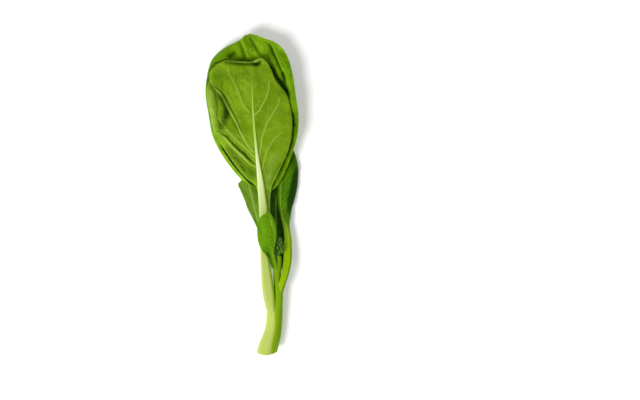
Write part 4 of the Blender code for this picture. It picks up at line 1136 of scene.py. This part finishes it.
def stemSurface(look, at, angle):  # points in millimetres for places along the stem and angles round it
    knots = np.array(look["stations"], float)
    places = knotPlaces(knots[:, :3])
    row = smoothCurve(knots, places, at)
    ahead = smoothCurve(knots, places, np.minimum(at + 0.5, places[-1]))[..., :3]
    behind = smoothCurve(knots, places, np.maximum(at - 0.5, 0))[..., :3]
    along = unit(ahead - behind)
    side = unit(np.array([1.0, 0, 0]) - along[..., :1] * along)
    up = np.cross(side, along)
    count, height, turn = look["ridges"]
    ridge = 1 + height * np.cos(count * (angle - turn))
    grooves = np.array(look["groove"])
    middle = np.arccos(np.interp(row[..., 1], grooves[:, 0], grooves[:, 1]))
    top, over = look["grooveTo"]
    fade = smoothStep((top - row[..., 1]) / over)
    cleft = look["grooveDepth"] * fade * np.exp(-(((angle - middle) / look["grooveWidth"]) ** 2))
    wide = row[..., 3] * ridge - cleft
    tall = row[..., 4] * ridge - cleft
    points = row[..., :3] + side * (wide * np.cos(angle))[..., None]
    points += up * (tall * np.sin(angle))[..., None]
    points[..., 2] = np.maximum(points[..., 2], 0)
    return points, middle


def stemPiece(look):
    knots = np.array(look["stations"], float)
    length = knotPlaces(knots[:, :3])[-1]
    angle = np.arange(look["sides"]) * 2 * math.pi / look["sides"] - math.pi / 2
    trial = np.linspace(0, length, 400)
    spread, _ = stemSurface(look, trial[:, None] + 0 * angle, angle + 0 * trial[:, None])
    point, normal = (np.array(value) for value in look["cut"])
    normal = unit(normal)
    past = (spread - point) @ normal
    start = np.array([np.interp(0, -past[:, k], trial) for k in range(look["sides"])])
    at = start + (length - start) * np.linspace(0, 1, look["rows"])[:, None]
    body, middle = stemSurface(look, at, angle + 0 * at)

    rim = body[0]
    center = rim.mean(axis=0)
    reach = np.linspace(0.02, 1, look["capRings"], endpoint=False)[:, None, None]
    cap = center + (rim - center) * reach - normal * look["dish"] * (1 - reach**6)
    turn = np.linspace(0, 1, look["domeRows"] + 1)[1:, None, None] * math.pi / 2
    end = body[-1].mean(axis=0)
    forward = unit(end - body[-3].mean(axis=0))
    dome = end + (body[-1] - end) * np.maximum(np.cos(turn), 0.05)
    dome += forward * np.sin(turn) * look["domeHeight"]
    points = np.concatenate([cap, body, dome])
    faces = tubeFaces(*points.shape[:2], turned=True)
    faceMaterials = np.zeros(len(faces), int)
    faceMaterials[: look["capRings"] * look["sides"]] = 1
    faceMaterials[-2] = 1

    y = points[..., 1]
    around = np.mod(np.broadcast_to(angle, y.shape), 2 * math.pi)
    edge = np.concatenate([
        np.broadcast_to(middle[:1], cap.shape[:2]), middle, np.broadcast_to(middle[-1:], dome.shape[:2]),
    ])
    back, top, over = look["paleTo"]
    pale = smoothStep((around - edge) / 0.12 + 0.7) * smoothStep((back - around) / 0.3)
    pale *= smoothStep((top - y) / over)
    radius = np.ones(y.shape)
    radius[: look["capRings"]] = reach[..., 0]
    # Painted shade down the side turned from the light; the same mark also carries the darker top.
    heading, width, low, over = look["paintedShadeStrip"]
    paintedShadeStrip = np.exp(-(((around - heading) / width) ** 2)) * smoothStep((y - low) / over)
    depth, low, over = look["darkTop"]
    paintedShadeStrip = np.maximum(paintedShadeStrip, depth * smoothStep((y - low) / over))
    girth = np.arange(look["sides"]) * look["girth"] / look["sides"]
    grain = np.stack([np.broadcast_to(girth, y.shape), y, 0 * y], axis=-1) * mm
    marks = {"pale": pale.ravel(), "radius": radius.ravel(), "paintedShadeStrip": paintedShadeStrip.ravel()}
    marks["grain"] = grain.reshape(-1, 3)
    materials = [stemMaterial(look), cutMaterial(look)]
    return meshPiece("choyStem", points.reshape(-1, 3), faces, materials, faceMaterials, marks)


def stemMaterial(look):
    material, tree, shader = startMaterial("stemSkin", look["pale"])
    shade = placeGroup(tree, mottle, place=placeOf(tree), size=0.016)["shade"]
    fibre = placeGroup(tree, fibres, grain=markOf(tree, "grain", "Vector"), width=0.0012)["fibre"]
    green = mixOf(tree, rangeOf(tree, fibre, 0, 1, 0.45, 1.0), look["dark"], look["green"])
    # the painted shade strip darkens the green side
    green = mixOf(tree, markOf(tree, "paintedShadeStrip"), green, look["dark"])
    pale = mixOf(tree, times(tree, fibre, 0.25), look["pale"], look["ring"])
    color = mixOf(tree, markOf(tree, "pale"), green, pale)
    color = mixOf(tree, times(tree, shade, 0.1), color, look["ring"])
    roughness = rangeOf(tree, shade, 0, 1, *look["roughness"])
    height = plus(tree, fibre, times(tree, shade, 0.4))
    finishSkin(tree, shader, color, roughness, height, look["bump"], {
        "Subsurface Weight": 0.08, "Subsurface Radius": (0.5, 0.7, 0.2), "Subsurface Scale": 0.004,
        "Specular IOR Level": 0.14, "Specular Tint": (0.8, 1.0, 0.4, 1.0),
    })
    return material


def cutMaterial(look):
    material, tree, shader = startMaterial("stemCut", look["pith"])
    place = placeOf(tree)
    radius = markOf(tree, "radius")
    grainDensity, waveDensity, waveHeight = look["cutGrain"]
    grainy = noiseOf(tree, place, grainDensity)
    wavy = plus(tree, radius, times(tree, noiseOf(tree, place, waveDensity), waveHeight))
    inner, outer = look["ringEdges"]
    ring = times(tree, rangeOf(tree, wavy, *inner), rangeOf(tree, wavy, *outer))
    color = mixOf(tree, rangeOf(tree, grainy, 0.3, 0.7, 0.0, 0.5), look["pith"], look["pale"])
    color = mixOf(tree, ring, color, look["ring"])
    color = mixOf(tree, rangeOf(tree, radius, look["rindFrom"], 1.0), color, look["green"])
    roughness = rangeOf(tree, grainy, 0, 1, 0.32, 0.5)
    finishSkin(tree, shader, color, roughness, grainy, look["cutBump"], {
        "Subsurface Weight": 0.15, "Subsurface Radius": (0.6, 0.7, 0.3), "Subsurface Scale": 0.004,
    })
    return material


dressed(stemPiece(stem), "stem")


# The head of closed buds at the top of the stem

buds = {
    "foot": (7.8, 70.0, 11.3),
    "top": (8.9, 86.0, 11.9),
    "core": (2.0, 0.9),
    "count": 24,
    "innerCount": 16,
    "roots": (0.25, 0.97),
    "spread": (3.8, 1.0),
    "lift": 4.0,
    "inner": (0.45, 0.9),  # spread and lift of the inner buds, as shares of the outer ones'
    "seed": 5,
    "lean": 0.25,
    "unevenSize": (0.88, 1.06),
    "stalkBend": (0.1, 0.5),
    "size": (1.35, 2.1),
    "scale": (1.0, 0.7),
    "stalk": (0.54, 0.45),
    # The sepal green is kept dark, partly as painted shade; the pale tips are partly the buds' own colour,
    # partly painted highlight.
    "sepals": tone(52, 98, 2),
    "tips": tone(186, 210, 120),
    "stalks": tone(78, 124, 6),
}


def budMesh(center, axis, width, length, sides=24, rings=16):
    across = unit(np.cross(axis, (0.3, 0.2, 1.0)))
    up = np.cross(axis, across)
    turn = (np.arange(rings + 1) / rings * math.pi).clip(0.06, math.pi - 0.06)[:, None]
    around = np.arange(sides) * 2 * math.pi / sides
    seam = np.exp(-((np.mod(around + math.pi / 4, math.pi / 2) - math.pi / 4) / 0.16) ** 2)
    squared = 1 + 0.05 * np.cos(4 * around + math.pi) - 0.09 * seam * np.sin(turn)
    radius = width * np.sin(turn) ** 0.8 * squared
    spokes = across * np.cos(around)[:, None] + up * np.sin(around)[:, None]
    points = center - axis * length * np.cos(turn)[..., None] + spokes * radius[..., None]
    tip = np.broadcast_to(turn / math.pi, radius.shape)
    return points, tip, np.broadcast_to(seam, radius.shape)


def stalkMesh(start, end, wide, narrow, bend, sides=10, rows=7):
    share = np.linspace(0, 1, rows)[:, None]
    line = start + (end - start) * share + bend * np.sin(math.pi * share)
    along = unit(np.gradient(line, axis=0))
    across = unit(np.cross(along, (0.3, 0.2, 1.0)))
    up = np.cross(along, across)
    turn = np.arange(sides) * 2 * math.pi / sides
    radius = wide + (narrow - wide) * share
    spokes = across[:, None] * np.cos(turn)[:, None] + up[:, None] * np.sin(turn)[:, None]
    return line[:, None] + spokes * radius[..., None]


def budPiece(look):
    foot, top = np.array(look["foot"]), np.array(look["top"])
    axis = unit(top - foot)
    across = unit(np.cross(axis, (0, 0, 1)))
    up = np.cross(across, axis)
    draw = np.random.default_rng(look["seed"])
    points, faces, kinds, tips, seams = [], [], [], [], []

    def add(grid, kind, tip, seam):
        faces.extend(tubeFaces(*grid.shape[:2], sum(map(len, points))))
        kinds.extend([kind] * (grid.shape[0] * grid.shape[1] - grid.shape[1] + 2))
        points.append(grid.reshape(-1, 3))
        tips.append(np.broadcast_to(tip, grid.shape[:2]).ravel())
        seams.append(np.broadcast_to(seam, grid.shape[:2]).ravel())

    add(stalkMesh(foot, top, *look["core"], up * 0.0, 20, 14), 1, 0.0, 0.0)
    golden = math.pi * (3 - math.sqrt(5))
    for k in range(look["count"] + look["innerCount"]):
        inner = k >= look["count"]
        share = (k - look["count"] + 0.5) / look["innerCount"] if inner else (k + 0.5) / look["count"]
        turn = k * golden
        spoke = across * math.cos(turn) + up * math.sin(turn)
        nearer, lower = look["inner"] if inner else (1.0, 1.0)
        reach = between(look["spread"], share**1.5) * nearer
        root = foot + (top - foot) * between(look["roots"], share)
        center = root + spoke * reach + axis * look["lift"] * lower
        lean = unit(spoke * reach / 2 + axis * look["lift"] + draw.normal(0, look["lean"], 3))
        size = np.array(look["size"]) * between(look["scale"], share)
        width, length = size * draw.uniform(*look["unevenSize"])
        grid, tip, seam = budMesh(center, lean, width, length)
        add(grid, 0, tip, seam)
        bend = spoke * draw.uniform(*look["stalkBend"])
        add(stalkMesh(root, center, *look["stalk"], bend), 1, 0.0, 0.0)
    marks = {"tip": np.concatenate(tips), "seam": np.concatenate(seams)}
    materials = [budMaterial(look), budStalkMaterial(look)]
    return meshPiece("budHead", np.concatenate(points), faces, materials, kinds, marks)


def budMaterial(look):
    material, tree, shader = startMaterial("budSepals", look["sepals"])
    shade = placeGroup(tree, mottle, place=placeOf(tree), size=0.003)["shade"]
    color = mixOf(tree, times(tree, shade, 0.35), look["sepals"], look["stalks"])
    color = mixOf(tree, rangeOf(tree, markOf(tree, "tip"), 0.72, 1.0), color, look["tips"])
    color = mixOf(tree, times(tree, markOf(tree, "seam"), 0.35), color, look["tips"])
    roughness = rangeOf(tree, shade, 0, 1, 0.36, 0.5)
    finishSkin(tree, shader, color, roughness, shade, 0.06, {"Specular IOR Level": 0.08})
    return material


def budStalkMaterial(look):
    material, tree, shader = startMaterial("budStalks", look["stalks"])
    shade = placeGroup(tree, mottle, place=placeOf(tree), size=0.004)["shade"]
    color = mixOf(tree, shade, look["stalks"], look["sepals"])
    roughness = rangeOf(tree, shade, 0, 1, 0.4, 0.55)
    finishSkin(tree, shader, color, roughness, shade, 0.05, {"Specular IOR Level": 0.15})
    return material


dressed(budPiece(buds), "bud_head")


# Table, light and camera

studio = {
    "pixel": 0.88 * mm,  # width of one pixel of the picture at the height of the leaves
    "imageWidth": 640,
    "center": (44.9 * mm, 123.2 * mm, 12.0 * mm),
    "lens": 135.0,
    "sensor": 36.0,
    "tableSize": 4.0,
    "tableTone": (0.93, 0.93, 0.93, 1.0),
    "tableGlow": 0.22,
    "surround": (1.0, 0.22),  # strength near the table and overhead
    "key": {"place": (-0.72, -0.56, 1.04), "size": 0.7, "watts": 16.6},
}


def buildTable(look):
    half = look["tableSize"] / 2
    x, y, _ = look["center"]
    mesh = bpy.data.meshes.new("table")
    turns = ((-1, -1), (1, -1), (1, 1), (-1, 1))
    mesh.from_pydata([(x + right * half, y + up * half, 0) for right, up in turns], [], [(0, 1, 2, 3)])
    material, tree, shader = startMaterial("tablePaint", look["tableTone"])
    grain = noiseOf(tree, placeOf(tree), 400.0)
    feed(tree, shader.inputs["Roughness"], rangeOf(tree, grain, 0, 1, 0.55, 0.7))
    setShader(shader, {
        "Base Color": look["tableTone"], "Specular IOR Level": 0.1,
        "Emission Color": look["tableTone"], "Emission Strength": look["tableGlow"],
    })
    mesh.materials.append(material)
    table = bpy.data.objects.new("table", mesh)
    table.location.z = -0.1 * mm
    bpy.context.scene.collection.objects.link(table)


def buildLight(look):  # a soft key from the lower left, and white walls that are brighter than the ceiling
    world = bpy.data.worlds.new("studioWorld")
    world.use_nodes = True
    tree = world.node_tree
    split = put(tree, "ShaderNodeSeparateXYZ")
    feed(tree, split.inputs[0], put(tree, "ShaderNodeTexCoord").outputs["Generated"])
    strength = rangeOf(tree, split.outputs["Z"], 0.2, 0.9, *look["surround"])
    feed(tree, tree.nodes["Background"].inputs["Strength"], strength)
    tree.nodes["Background"].inputs["Color"].default_value = (1.0, 1.0, 1.0, 1.0)
    bpy.context.scene.world = world
    key = look["key"]
    lamp = bpy.data.lights.new("keyLight", "AREA")
    lamp.shape = "DISK"
    lamp.size = key["size"]
    lamp.energy = key["watts"]
    light = bpy.data.objects.new("keyLight", lamp)
    light.location = Vector(look["center"]) + Vector(key["place"])
    light.rotation_euler = (-Vector(key["place"])).to_track_quat("-Z", "Y").to_euler()
    bpy.context.scene.collection.objects.link(light)


def buildCamera(look):
    camera = bpy.data.cameras.new("camera")
    camera.lens = look["lens"]
    camera.sensor_width = look["sensor"]
    distance = look["pixel"] * look["imageWidth"] * look["lens"] / look["sensor"]
    holder = bpy.data.objects.new("camera", camera)
    x, y, z = look["center"]
    holder.location = (x, y, z + distance)
    camera.clip_end = distance * 4
    bpy.context.scene.collection.objects.link(holder)
    bpy.context.scene.camera = holder


buildTable(studio)
buildLight(studio)
buildCamera(studio)
bpy.context.scene.view_settings.view_transform = "Standard"
print("studio set")
